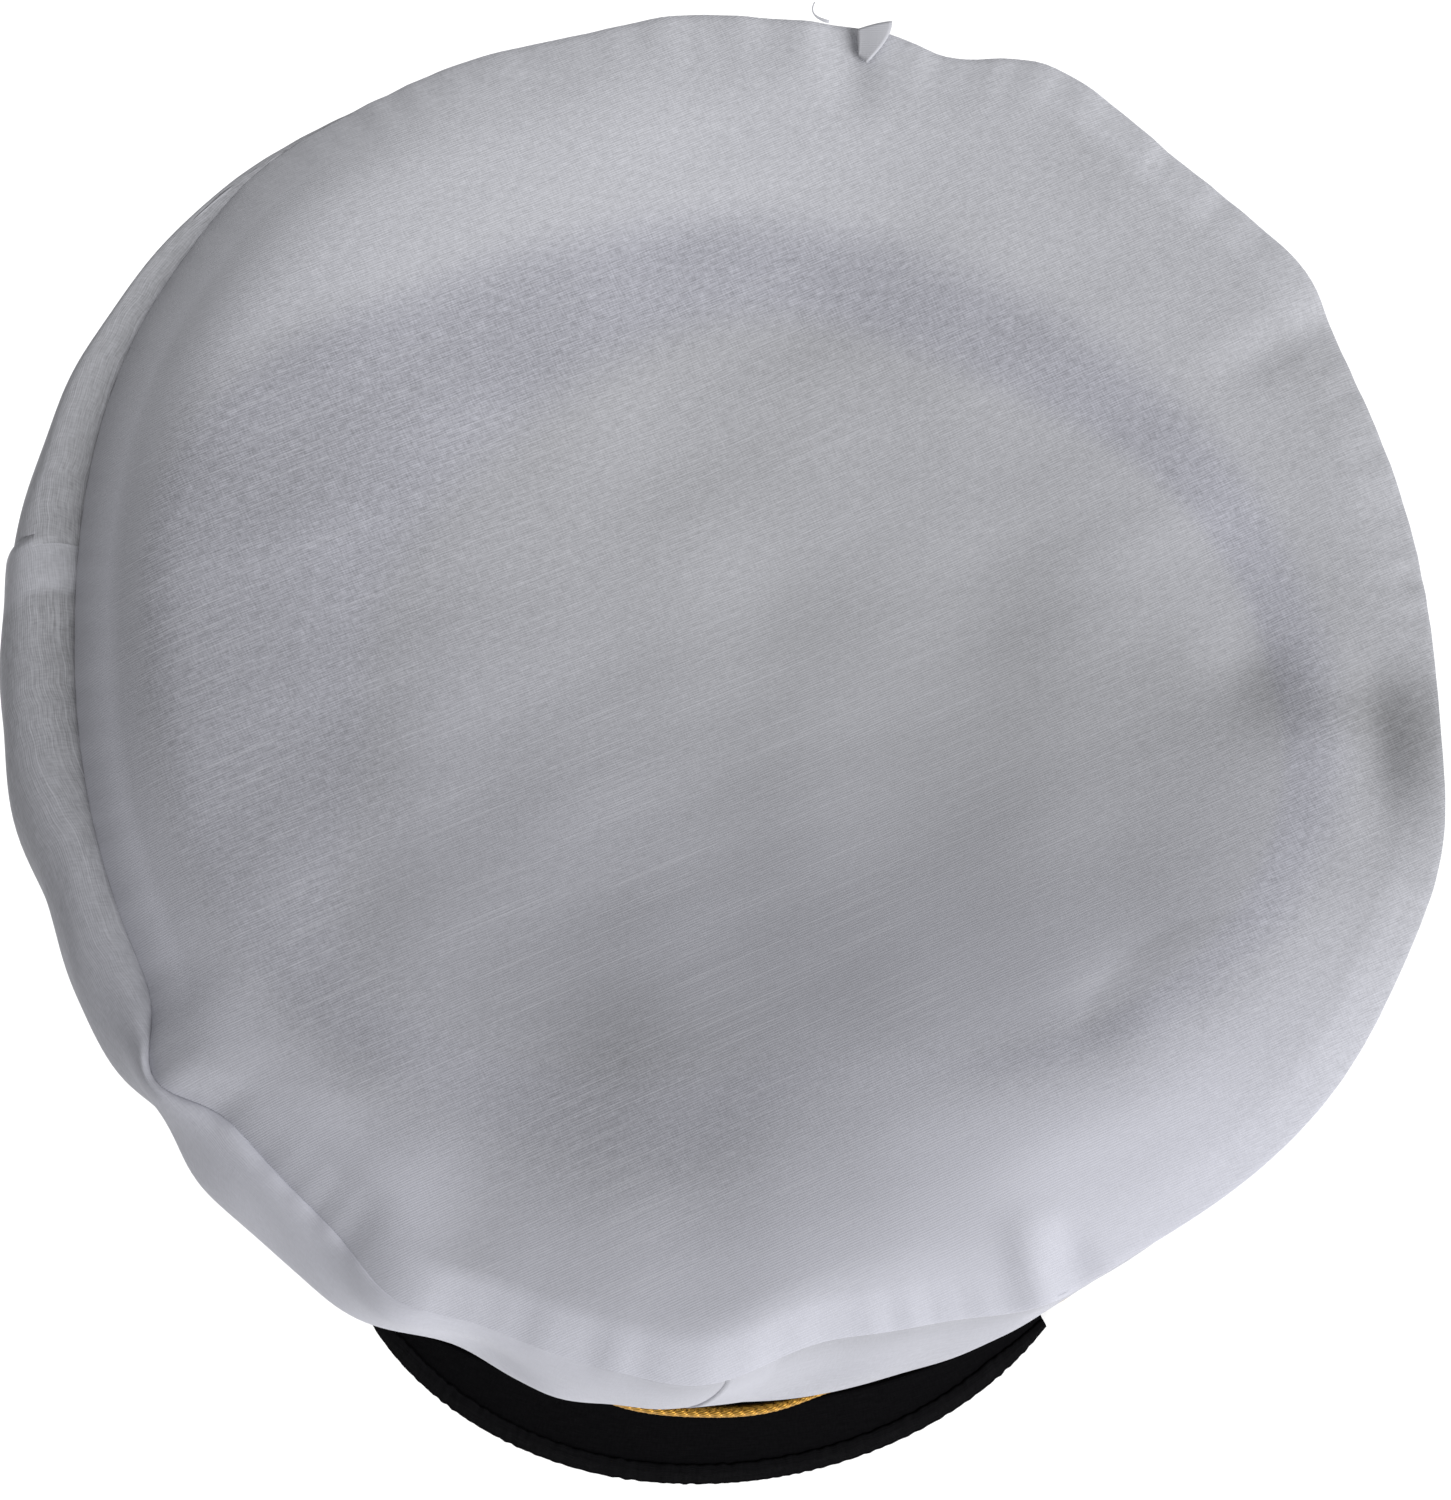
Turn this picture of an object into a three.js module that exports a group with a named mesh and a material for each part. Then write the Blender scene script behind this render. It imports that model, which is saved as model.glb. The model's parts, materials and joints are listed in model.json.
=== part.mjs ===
// A costume captain's hat at rest: a limp white crown of five cloth pieces on a black head band, with a bound
// black peak in front and a gold braid held by two buttons.
// Millimetres, +Z up, front towards -Y. Every piece is worked out on a level hat, the lower edge of its band at
// z = 0. The whole hat is then tipped back until it stands on the edge of its peak and the back of its band.
// Angles are in degrees, counter-clockwise from the right side as seen from above, so the front is at 270.

import * as THREE from "three";

// Driving dimensions
const FRONT = 272; // middle between the ends of the peak and braid, a touch to the right of straight ahead
const GAP = 0.3; // clearance between pieces that touch
const CLOTH = 1.2; // thickness of the crown cloth

const BAND_WIDTH = 203; // outside, from side to side
const BAND_LENGTH = 196; // outside, from front to back
const BAND_HEIGHT = 38;
const BAND_WALL = 2.5;

const LEAN_RIGHT = 8.3; // the limp crown lies to the right of the band's middle
const LEAN_BACK = 17; // and behind it
const DIP_HEIGHT = 47; // height of the middle of the crown top
const MIDDLE_CREST = 0.8; // reach of the crest that the middle of the crown top follows
const PINCH_REACH = 0.72; // how far in from the seam its pinches pull at the crown top

const PANEL_RISE = 6; // how far a side panel stands up from the band before it turns outwards
const PANEL_SPREAD = 2.75; // how far it leans out over that rise
const PANEL_PUSH = 1.4; // and how much further, as a share of how far it swells
const SEAM_GAP = 0.7; // between a side panel's upper edge and the crown top
const PANEL_SEAMS = { right: -1, back: 83, left: 170.4, front: 269 };

const PEAK_DEPTH = 33; // at its deepest, from the band to the peak's edge
const PEAK_DEEPEST = 266.6; // where that is, a little to the left
const PEAK_END_DEPTH = 4.2;
const PEAK_END_TURN = 0.16; // how much of the fall of its edge comes as a round turn near its ends
const PEAK_SLOPE = 66.5; // below the level of the band
const PEAK_SPAN = 33.5; // to each side of its middle
const PEAK_BOARD = 1.6;
const PEAK_SEAT = 2.5; // height of the peak's upper edge on the band

const BINDING_LAP = 7; // how far the binding reaches over the board
const BINDING_MOST = 0.5; // the most of the board that it covers, near the ends of the peak
const BINDING_WALL = 0.9;

const BRAID_HEIGHT = 7; // middle of the braid above the band's lower edge
const BRAID_TALL = 4.5;
const BRAID_THICK = 1.6; // where it stands off the band
const BRAID_END_THICK = 0.7; // where it is pulled flat
const BRAID_BOW = 1.9; // how far it stands off near its middle
const BRAID_BOW_AT = 270.5; // where it stands off most
const BRAID_BOW_WIDTH = 10; // half the width of the part that stands off
const BRAID_PITCH = 5; // from one swelling of the plait to the next
const BRAID_SWELL = 0.16; // how much a turn stands out, as a share of the thickness

const BUTTON_RADIUS = 5;
const BUTTON_RIM = 0.8;
const BUTTON_DOME = 1.2;

// The crown every 30 degrees, from the right side round by the back.
// seam and height: radius and height of the seam round the crown top
// puff and sag: how far the side panel swells outwards and hangs down below that seam
// shoulder: how far the crown top stands above its seam
// crest: where it stands highest, as a share of the way from its middle to its seam
const SECTIONS = [
  { seam: 110.3, height: 44, puff: 2.2, sag: 22, shoulder: 1.8, crest: 0.86 },
  { seam: 111.3, height: 43, puff: 2.2, sag: 18, shoulder: 1.8, crest: 0.88 },
  { seam: 116.3, height: 44, puff: 1.7, sag: 12, shoulder: 2.5, crest: 0.88 },
  { seam: 114.6, height: 46, puff: 1.7, sag: 10, shoulder: 1.2, crest: 0.86 },
  { seam: 118.6, height: 48, puff: 1.1, sag: 6, shoulder: 4, crest: 0.84 },
  { seam: 120.5, height: 51, puff: 13.2, sag: -5, shoulder: 9, crest: 0.85 },
  { seam: 113.5, height: 54, puff: 14.8, sag: -10, shoulder: 11, crest: 0.84 },
  { seam: 111, height: 60, puff: 8.6, sag: -7, shoulder: 8, crest: 0.84 },
  { seam: 112, height: 67, puff: 5.2, sag: 0, shoulder: 5, crest: 0.9 },
  { seam: 112, height: 70, puff: 2.2, sag: 12, shoulder: 4.5, crest: 0.9 },
  { seam: 108.2, height: 63, puff: 0.4, sag: 12, shoulder: 5, crest: 0.8 },
  { seam: 112.6, height: 48, puff: 0.6, sag: 16, shoulder: 7.5, crest: 0.7 },
];

// Corners and tucks of the seam: where, how wide in degrees, how far out and up they pull it, and how much more
// the side panel swells below them
const PINCHES = [
  { at: 41, width: 5, out: 1.8, up: 1, puff: 0 },
  { at: 56, width: 7, out: -1.8, up: 0, puff: 0 },
  { at: 69, width: 5, out: 1.2, up: 0, puff: 0 },
  { at: 77, width: 4.5, out: -2.8, up: 0, puff: 0 },
  { at: 100, width: 5, out: 0.7, up: 0, puff: 0 },
  { at: 110, width: 7, out: -1, up: 0, puff: 0 },
  { at: 137, width: 7, out: 1.3, up: 0, puff: 0 },
  { at: 194, width: 5, out: 0, up: 0, puff: -1.3 },
  { at: 216, width: 4, out: 6.5, up: 0.4, puff: -4.6 },
  { at: 242, width: 5, out: 3.5, up: 1.5, puff: 0 },
  { at: 249, width: 6, out: 0, up: 0, puff: -3 },
  { at: 257, width: 9, out: 0.8, up: 0, puff: 1.2 },
  { at: 267, width: 5, out: 1.5, up: 0, puff: 0 },
  { at: 277, width: 7, out: -4.6, up: 0, puff: 0.9 },
  { at: 287, width: 7, out: -2.8, up: 0, puff: 1.1 },
  { at: 296, width: 6, out: 1.2, up: 1.2, puff: 0 },
  { at: 350, width: 9, out: 2.4, up: 0, puff: 0 },
];

// Folds of the crown top, each a straight ridge or furrow between two places, given by angle and by reach from
// the middle (0) to the seam (1)
const FOLDS = [
  { from: 295.5, fromReach: 1, to: 297, toReach: 0.84, width: 3, height: 1.6 },
  { from: 299.5, fromReach: 1, to: 300, toReach: 0.88, width: 3, height: -1.8 },
  { from: 216, fromReach: 1, to: 235, toReach: 0.7, width: 6, height: 0.3 },
  { from: 86, fromReach: 1, to: 84, toReach: 0.84, width: 4, height: -1.3 },
  { from: 16, fromReach: 0.72, to: -5, toReach: 0.73, width: 7, height: -1.8 },
  { from: 10, fromReach: 0.885, to: -16, toReach: 0.975, width: 6, height: -4 },
  { from: 37, fromReach: 1, to: 39, toReach: 0.76, width: 4, height: -1.2 },
  { from: 310, fromReach: 0.7, to: 333, toReach: 0.68, width: 5, height: -1 },
];

const rad = THREE.MathUtils.degToRad;
const UP = new THREE.Vector3(0, 0, 1);

// Places on the band

// Outward direction of the band's oval wall
function outwards(angle) {
  const x = Math.cos(rad(angle)) / BAND_WIDTH;
  const y = Math.sin(rad(angle)) / BAND_LENGTH;
  return new THREE.Vector3(x, y, 0).normalize();
}

// A point at some distance outside the band's outer face
function besideBand(angle, distance, height) {
  const x = (BAND_WIDTH / 2) * Math.cos(rad(angle));
  const y = (BAND_LENGTH / 2) * Math.sin(rad(angle));
  return new THREE.Vector3(x, y, height).addScaledVector(outwards(angle), distance);
}

// The crown's form

// A smooth curve through one column of the sections, all the way round
function sectionValue(column, angle) {
  const count = SECTIONS.length;
  const place = (THREE.MathUtils.euclideanModulo(angle, 360) / 360) * count;
  const row = Math.floor(place);
  const share = place - row;
  const [before, start, end, after] = [-1, 0, 1, 2].map((step) => SECTIONS[(row + step + count) % count][column]);
  const bend = 3 * (start - end) + after - before;
  const turn = 2 * before - 5 * start + 4 * end - after;
  return start + 0.5 * share * (end - before + share * (turn + share * bend));
}

function pinchValue(column, angle) {
  let sum = 0;
  for (const pinch of PINCHES) {
    const offset = THREE.MathUtils.euclideanModulo(angle - pinch.at + 180, 360) - 180;
    sum += pinch[column] * Math.exp(-((offset / pinch.width) ** 2));
  }
  return sum;
}

function average(values) {
  return values.reduce((sum, value) => sum + value, 0) / values.length;
}

// A share that starts and ends with no slope
function eased(share) {
  return THREE.MathUtils.smoothstep(share, 0, 1);
}

// How fully the pinches of the seam pull at the crown top
function nearSeam(reach) {
  return eased((reach - PINCH_REACH) / (1 - PINCH_REACH));
}

// The crown top's plan at a reach from its middle to its seam: round in the middle, and more and more like the seam
function planPoint(angle, reach) {
  const middle = average(SECTIONS.map((row) => row.seam));
  const round = reach * THREE.MathUtils.lerp(middle, sectionValue("seam", angle), eased(reach));
  const radius = round + pinchValue("out", angle) * nearSeam(reach);
  return new THREE.Vector2(LEAN_RIGHT + radius * Math.cos(rad(angle)), LEAN_BACK + radius * Math.sin(rad(angle)));
}

// The height of a slack sheet inside its edge: each wave of the edge fades inwards as reach to the wave's number
function limpSheet(edge, angle, reach) {
  const count = edge.length;
  let height = average(edge);
  for (let number = 1; number <= count / 2; number++) {
    const weight = 2 * number === count ? 1 : 2;
    const parts = edge.map((value, row) => value * Math.cos(rad(number * (angle - (360 * row) / count))));
    height += weight * average(parts) * reach ** number;
  }
  return height;
}

// A fold fades to its ends, but not where it starts at the seam
function foldHeight(place) {
  let sum = 0;
  for (const fold of FOLDS) {
    const start = planPoint(fold.from, fold.fromReach);
    const run = planPoint(fold.to, fold.toReach).sub(start);
    const offset = place.clone().sub(start);
    const share = offset.dot(run) / run.lengthSq();
    const aside = offset.cross(run) / run.length();
    const rising = fold.fromReach === 1 ? 1 : eased(share / 0.5);
    const fading = eased((1 - share) / 0.7);
    sum += fold.height * rising * fading * Math.exp(-((aside / fold.width) ** 2));
  }
  return sum;
}

// A slack sheet that sags in its middle, up to its crest, then a curve down to its seam
function crownTopPoint(angle, reach) {
  const place = planPoint(angle, reach);
  const crest = sectionValue("crest", angle);
  const nearMiddle = THREE.MathUtils.lerp(MIDDLE_CREST, crest, eased(reach / MIDDLE_CREST));
  const inner = Math.min(reach / nearMiddle, 1);
  const edge = SECTIONS.map((row) => row.height + row.shoulder);
  const held = limpSheet(edge, angle, inner * (1.5 - 0.5 * inner ** 2));
  const sag = (average(edge) - DIP_HEIGHT) * (1 - inner ** 2) ** 2;
  const fall = sectionValue("shoulder", angle) * Math.max((reach - crest) / (1 - crest), 0) ** 2;
  const lifted = pinchValue("up", angle) * nearSeam(reach);
  return new THREE.Vector3(place.x, place.y, held - sag - fall + lifted + foldHeight(place));
}

// The middle of a side panel's cloth, from the band's upper edge (climb 0) to the crown's seam (climb 1). Its foot
// stands higher where it leans out more, so that the lower corner of its edge clears the band.
function sidePoint(angle, climb) {
  const out = outwards(angle);
  const puff = sectionValue("puff", angle) + pinchValue("puff", angle);
  const lean = PANEL_SPREAD + PANEL_PUSH * puff;
  const corner = (CLOTH / 2) * Math.sin(Math.atan2(lean, PANEL_RISE));
  const foot = besideBand(angle, -BAND_WALL / 2, BAND_HEIGHT + GAP + corner);
  const head = crownTopPoint(angle, 1).addScaledVector(UP, -1.5 * CLOTH - SEAM_GAP);
  const stand = foot.clone().addScaledVector(out, lean).addScaledVector(UP, PANEL_RISE);
  const swell = head.clone().addScaledVector(out, puff).addScaledVector(UP, -sectionValue("sag", angle));
  return new THREE.CubicBezierCurve3(foot, stand, swell, head).getPoint(climb);
}

// The peak's form

// The peak's edge falls back from its deepest place, and turns more sharply near its ends
function peakDepth(angle) {
  const end = FRONT + Math.sign(angle - PEAK_DEEPEST) * PEAK_SPAN;
  const share = (angle - PEAK_DEEPEST) / (end - PEAK_DEEPEST);
  const fall = THREE.MathUtils.lerp(share ** 2, share ** 6, PEAK_END_TURN);
  return THREE.MathUtils.lerp(PEAK_DEPTH, PEAK_END_DEPTH, fall);
}

// Directions down the peak and square to it, on its upper side
function peakDirections(angle) {
  const out = outwards(angle);
  const slope = rad(PEAK_SLOPE);
  const down = out.clone().multiplyScalar(Math.cos(slope)).addScaledVector(UP, -Math.sin(slope));
  const face = out.multiplyScalar(Math.sin(slope)).addScaledVector(UP, Math.cos(slope));
  return { down, face };
}

// The middle of the peak's board, at a distance down from the band
function peakPoint(angle, distance) {
  const { down } = peakDirections(angle);
  return besideBand(angle, GAP + PEAK_BOARD / 2, PEAK_SEAT).addScaledVector(down, distance);
}

// The angle at a share of the way from the right end to the left end of what lies round the front
function frontAngle(share, span) {
  return FRONT + span * (1 - 2 * share);
}

// Closed bodies from points

class Body {
  points = [];
  triangles = [];
  places = new Map();

  // Points that coincide are shared
  point(vector) {
    const place = vector.toArray().map((value) => value.toFixed(3)).join(" ");
    if (!this.places.has(place)) {
      this.places.set(place, this.points.length / 3);
      this.points.push(...vector.toArray());
    }
    return this.places.get(place);
  }

  triangle(a, b, c) {
    if (a !== b && b !== c && c !== a) this.triangles.push(a, b, c);
  }

  quad(a, b, c, d) {
    this.triangle(a, b, c);
    this.triangle(a, c, d);
  }

  geometry() {
    const geometry = new THREE.BufferGeometry();
    geometry.setAttribute("position", new THREE.Float32BufferAttribute(this.points, 3));
    geometry.setIndex(this.triangles);
    geometry.computeVertexNormals();
    return geometry;
  }
}

// A wall between two faces, each a function of two shares: along the wall, and across it
function wallGeometry(outerAt, innerAt, along, across, closed) {
  const body = new Body();
  const grid = (pointAt) => {
    const rows = [];
    for (let i = 0; i <= along; i++) {
      rows.push([]);
      for (let j = 0; j <= across; j++) rows[i].push(body.point(pointAt(i / along, j / across)));
    }
    return rows;
  };
  const outer = grid(outerAt);
  const inner = grid(innerAt);
  for (let i = 0; i < along; i++) {
    for (let j = 0; j < across; j++) {
      body.quad(outer[i][j], outer[i + 1][j], outer[i + 1][j + 1], outer[i][j + 1]);
      body.quad(inner[i][j], inner[i][j + 1], inner[i + 1][j + 1], inner[i + 1][j]);
    }
    body.quad(outer[i][0], inner[i][0], inner[i + 1][0], outer[i + 1][0]);
    body.quad(outer[i][across], outer[i + 1][across], inner[i + 1][across], inner[i][across]);
  }
  for (let j = 0; j < across && !closed; j++) {
    body.quad(outer[0][j], outer[0][j + 1], inner[0][j + 1], inner[0][j]);
    body.quad(outer[along][j], inner[along][j], inner[along][j + 1], outer[along][j + 1]);
  }
  return body.geometry();
}

// A bar whose section, a flat outline of {x, y}, is set at each share of its way by placeAt
function barGeometry(sectionAt, placeAt, along) {
  const body = new Body();
  const rings = [];
  for (let i = 0; i <= along; i++) {
    const share = i / along;
    rings.push(sectionAt(share).map((corner) => body.point(placeAt(share, corner))));
  }
  for (let i = 0; i < along; i++) {
    rings[i].forEach((corner, k) => {
      const next = (k + 1) % rings[i].length;
      body.quad(corner, rings[i][next], rings[i + 1][next], rings[i + 1][k]);
    });
  }
  for (const [a, b, c] of THREE.ShapeUtils.triangulateShape(sectionAt(0), [])) {
    body.triangle(rings[0][a], rings[0][c], rings[0][b]);
    body.triangle(rings[along][a], rings[along][b], rings[along][c]);
  }
  return body.geometry();
}

// The pieces

function cloth(color) {
  return new THREE.MeshStandardMaterial({ color, roughness: 0.95, metalness: 0 });
}

function gold() {
  return new THREE.MeshStandardMaterial({ color: 0xc8963c, roughness: 0.4, metalness: 0.8 });
}

function piece(name, geometry, material) {
  const mesh = new THREE.Mesh(geometry, material);
  mesh.name = name;
  return mesh;
}

// An even share turned into one whose steps grow shorter towards the crown's seam
function closerToSeam(share) {
  return share * (1.35 - 0.35 * share);
}

function crownTop() {
  const around = 84;
  const rings = 12;
  const outerAt = (u, v) => crownTopPoint(-360 * u, closerToSeam(v));
  const innerAt = (u, v) => outerAt(u, v).addScaledVector(UP, -CLOTH);
  return piece("crown_top", wallGeometry(outerAt, innerAt, around, rings, true), cloth(0xf2f2f6));
}

// A side panel from one seam to the next, stopping half a gap short of each
function quarter(name, from, to) {
  const around = 18;
  const climbs = 9;
  const clear = THREE.MathUtils.radToDeg(GAP / BAND_LENGTH);
  const middleAt = (u, v) => sidePoint(THREE.MathUtils.lerp(from + clear, to - clear, u), closerToSeam(v));
  const faceAt = (side) => (u, v) => {
    const step = 0.001;
    const along = middleAt(u + step, v).sub(middleAt(u - step, v));
    const across = middleAt(u, v + step).sub(middleAt(u, v - step));
    return middleAt(u, v).addScaledVector(along.cross(across).normalize(), (side * CLOTH) / 2);
  };
  return piece(name, wallGeometry(faceAt(1), faceAt(-1), around, climbs, false), cloth(0xf2f2f6));
}

function headBand() {
  const outline = new THREE.Shape();
  outline.absellipse(0, 0, BAND_WIDTH / 2, BAND_LENGTH / 2, 0, 2 * Math.PI);
  const opening = new THREE.Path();
  opening.absellipse(0, 0, BAND_WIDTH / 2 - BAND_WALL, BAND_LENGTH / 2 - BAND_WALL, 0, 2 * Math.PI);
  outline.holes.push(opening);
  const options = { depth: BAND_HEIGHT, bevelEnabled: false, curveSegments: 48 };
  return piece("head_band", new THREE.ExtrudeGeometry(outline, options), cloth(0x141416));
}

function peak() {
  const along = 36;
  const across = 4;
  const faceAt = (side) => (u, v) => {
    const angle = frontAngle(u, PEAK_SPAN);
    const { face } = peakDirections(angle);
    return peakPoint(angle, v * peakDepth(angle)).addScaledVector(face, (side * PEAK_BOARD) / 2);
  };
  return piece("peak", wallGeometry(faceAt(1), faceAt(-1), along, across, false), cloth(0x101012));
}

// A strip folded over the board's edge, its section drawn with x down the peak and y square to it
function peakBinding() {
  const along = 36;
  const slot = PEAK_BOARD / 2 + GAP;
  const half = slot + BINDING_WALL;
  const nose = GAP + BINDING_WALL;
  const sectionAt = (share) => {
    const lap = Math.min(BINDING_LAP, BINDING_MOST * peakDepth(frontAngle(share, PEAK_SPAN)));
    return [
      new THREE.Vector2(-lap, slot),
      new THREE.Vector2(GAP, slot),
      new THREE.Vector2(GAP, -slot),
      new THREE.Vector2(-lap, -slot),
      new THREE.Vector2(-lap, -half),
      new THREE.Vector2(0, -half),
      new THREE.Vector2(nose, -slot / 2),
      new THREE.Vector2(nose, slot / 2),
      new THREE.Vector2(0, half),
      new THREE.Vector2(-lap, half),
    ];
  };
  const placeAt = (share, corner) => {
    const angle = frontAngle(share, PEAK_SPAN);
    const { face } = peakDirections(angle);
    return peakPoint(angle, peakDepth(angle) + corner.x).addScaledVector(face, corner.y);
  };
  return piece("peak_binding", barGeometry(sectionAt, placeAt, along), cloth(0x18181b));
}

// The angle at which a button's edge meets the end of the braid
function braidSpan() {
  const reach = BUTTON_RADIUS + GAP;
  return buttonAngle() - THREE.MathUtils.radToDeg((2 * reach) / BAND_WIDTH);
}

// The buttons sit just past the ends of the peak
function buttonAngle() {
  return PEAK_SPAN + THREE.MathUtils.radToDeg((2 * BUTTON_RADIUS) / BAND_WIDTH);
}

// How loosely the braid stands off the band: 1 near its middle, 0 where it is pulled flat
function braidSlack(angle) {
  return Math.exp(-(((angle - BRAID_BOW_AT) / BRAID_BOW_WIDTH) ** 4));
}

function goldBraid() {
  const span = braidSpan();
  const length = rad(2 * span) * (BAND_LENGTH / 2);
  const turns = Math.round(length / BRAID_PITCH);
  const stepsPerTurn = 3;
  const corners = 8;
  const thicknessAt = (share) => {
    return THREE.MathUtils.lerp(BRAID_END_THICK, BRAID_THICK, braidSlack(frontAngle(share, span)));
  };
  const sectionAt = (share) => {
    const swell = 1 - BRAID_SWELL * (0.5 + 0.5 * Math.cos(2 * Math.PI * turns * share));
    const ring = [];
    for (let k = 0; k < corners; k++) {
      const turn = (2 * Math.PI * (k + 0.5)) / corners;
      const x = (thicknessAt(share) / 2) * Math.cos(turn) * swell;
      ring.push(new THREE.Vector2(x, (BRAID_TALL / 2) * Math.sin(turn) * swell));
    }
    return ring;
  };
  const placeAt = (share, corner) => {
    const angle = frontAngle(share, span);
    const distance = GAP + thicknessAt(share) / 2 + BRAID_BOW * braidSlack(angle) + corner.x;
    return besideBand(angle, distance, BRAID_HEIGHT + corner.y);
  };
  return piece("gold_braid", barGeometry(sectionAt, placeAt, turns * stepsPerTurn), gold());
}

function button(name, angle) {
  const profile = new THREE.Path();
  profile.moveTo(0, 0);
  profile.lineTo(BUTTON_RADIUS, 0);
  profile.lineTo(BUTTON_RADIUS, BUTTON_RIM);
  profile.absellipse(0, BUTTON_RIM, BUTTON_RADIUS, BUTTON_DOME, 0, Math.PI / 2);
  const sides = 16;
  const mesh = piece(name, new THREE.LatheGeometry(profile.getPoints(4), sides), gold());
  mesh.position.copy(besideBand(angle, GAP, BRAID_HEIGHT));
  mesh.quaternion.setFromUnitVectors(new THREE.Vector3(0, 1, 0), outwards(angle));
  return mesh;
}

// The tilt at which the hat stands on the back edge of its band and on the lowest of the given pieces
function restingTilt(meshes) {
  const heel = BAND_LENGTH / 2;
  let tilt = 0;
  for (const mesh of meshes) {
    const points = mesh.geometry.attributes.position;
    for (let i = 0; i < points.count; i++) {
      tilt = Math.max(tilt, Math.atan2(-points.getZ(i), heel - points.getY(i)));
    }
  }
  return tilt;
}

const board = peak();
const binding = peakBinding();
const hat = new THREE.Group();
hat.add(
  crownTop(),
  quarter("quarter_back_right", PANEL_SEAMS.right, PANEL_SEAMS.back),
  quarter("quarter_back_left", PANEL_SEAMS.back, PANEL_SEAMS.left),
  quarter("quarter_front_left", PANEL_SEAMS.left, PANEL_SEAMS.front),
  quarter("quarter_front_right", PANEL_SEAMS.front, PANEL_SEAMS.right + 360),
  headBand(),
  board,
  binding,
  goldBraid(),
  button("button_left", FRONT - buttonAngle()),
  button("button_right", FRONT + buttonAngle()),
);
hat.rotation.x = -restingTilt([board, binding]);

// The origin is under the middle of the resting hat
const box = new THREE.Box3().setFromObject(hat, true);
const middle = box.getCenter(new THREE.Vector3());
hat.position.set(-middle.x, -middle.y, -box.min.z);

const captainHat = new THREE.Group();
captainHat.add(hat);

export default captainHat;
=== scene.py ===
"""Looks for a resting captain's hat: limp white cloth crown, black head band, bound peak and gold braid.

Every piece is worked out on a level hat, in metres, with the lower edge of its band at z = 0 and its front
towards -Y. It is then tipped back and set down as the packed model rests. Angles are in degrees,
counter-clockwise from the right side as seen from above, so the front is at 270.
"""

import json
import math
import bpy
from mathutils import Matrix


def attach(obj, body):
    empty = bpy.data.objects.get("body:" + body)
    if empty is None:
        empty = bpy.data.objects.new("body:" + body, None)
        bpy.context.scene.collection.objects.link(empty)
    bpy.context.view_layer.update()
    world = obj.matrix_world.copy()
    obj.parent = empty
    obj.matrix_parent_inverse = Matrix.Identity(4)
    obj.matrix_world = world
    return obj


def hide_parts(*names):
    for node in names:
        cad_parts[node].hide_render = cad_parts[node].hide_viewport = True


bl_info = {
    "name": "Captain Hat",
    "version": (1, 0, 0),
    "blender": (4, 5, 0),
    "location": "View3D > Sidebar > Hat",
    "description": "Dresses the packed captain hat in cloth, binding, braid and buttons",
    "category": "Object",
}

import bpy
import numpy as np

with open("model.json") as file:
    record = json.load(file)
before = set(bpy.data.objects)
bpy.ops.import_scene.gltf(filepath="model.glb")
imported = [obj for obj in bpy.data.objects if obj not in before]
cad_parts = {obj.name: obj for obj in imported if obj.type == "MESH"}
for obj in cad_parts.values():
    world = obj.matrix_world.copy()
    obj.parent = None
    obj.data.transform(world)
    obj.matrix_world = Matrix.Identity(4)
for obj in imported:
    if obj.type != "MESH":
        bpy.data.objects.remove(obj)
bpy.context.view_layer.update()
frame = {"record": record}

# A millimetre in metres
MM = 0.001

# Middle between the ends of the peak and the braid, a touch to the right of straight ahead
FRONT = 272.0

UP = np.array([0.0, 0.0, 1.0])

# Where the middle of the level band's lower edge rests, and how far the hat is tipped back
OPENING = next(mount for mount in frame["record"]["mounts"] if mount["name"] == "head_opening")
ORIGIN = np.array(OPENING["pos_m"])
TILT = math.atan2(-OPENING["axis"][1], -OPENING["axis"][2])

# The crown every 30 degrees, from the right side round by the back, in millimetres but for the crest.
# seam and height: radius and height of the seam round the crown top
# puff and sag: how far the side panel swells outwards and hangs down below that seam
# shoulder: how far the crown top stands above its seam
# crest: where it stands highest, as a share of the way from its middle to its seam
SECTION_ROWS = np.array([
    (110.3, 44, 2.2, 22, 1.8, 0.86),
    (111.3, 43, 2.2, 18, 1.8, 0.88),
    (116.3, 44, 1.7, 12, 2.5, 0.88),
    (114.6, 46, 1.7, 10, 1.2, 0.86),
    (118.6, 48, 1.1, 6, 4.0, 0.84),
    (120.5, 51, 13.2, -5, 9.0, 0.85),
    (113.5, 54, 14.8, -10, 11.0, 0.84),
    (111.0, 60, 8.6, -7, 8.0, 0.84),
    (112.0, 67, 5.2, 0, 5.0, 0.90),
    (112.0, 70, 2.2, 12, 4.5, 0.90),
    (108.2, 63, 0.4, 12, 5.0, 0.80),
    (112.6, 48, 0.6, 16, 7.5, 0.70),
])
SECTIONS = dict(zip(("seam", "height", "puff", "sag", "shoulder", "crest"), SECTION_ROWS.T))

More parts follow.
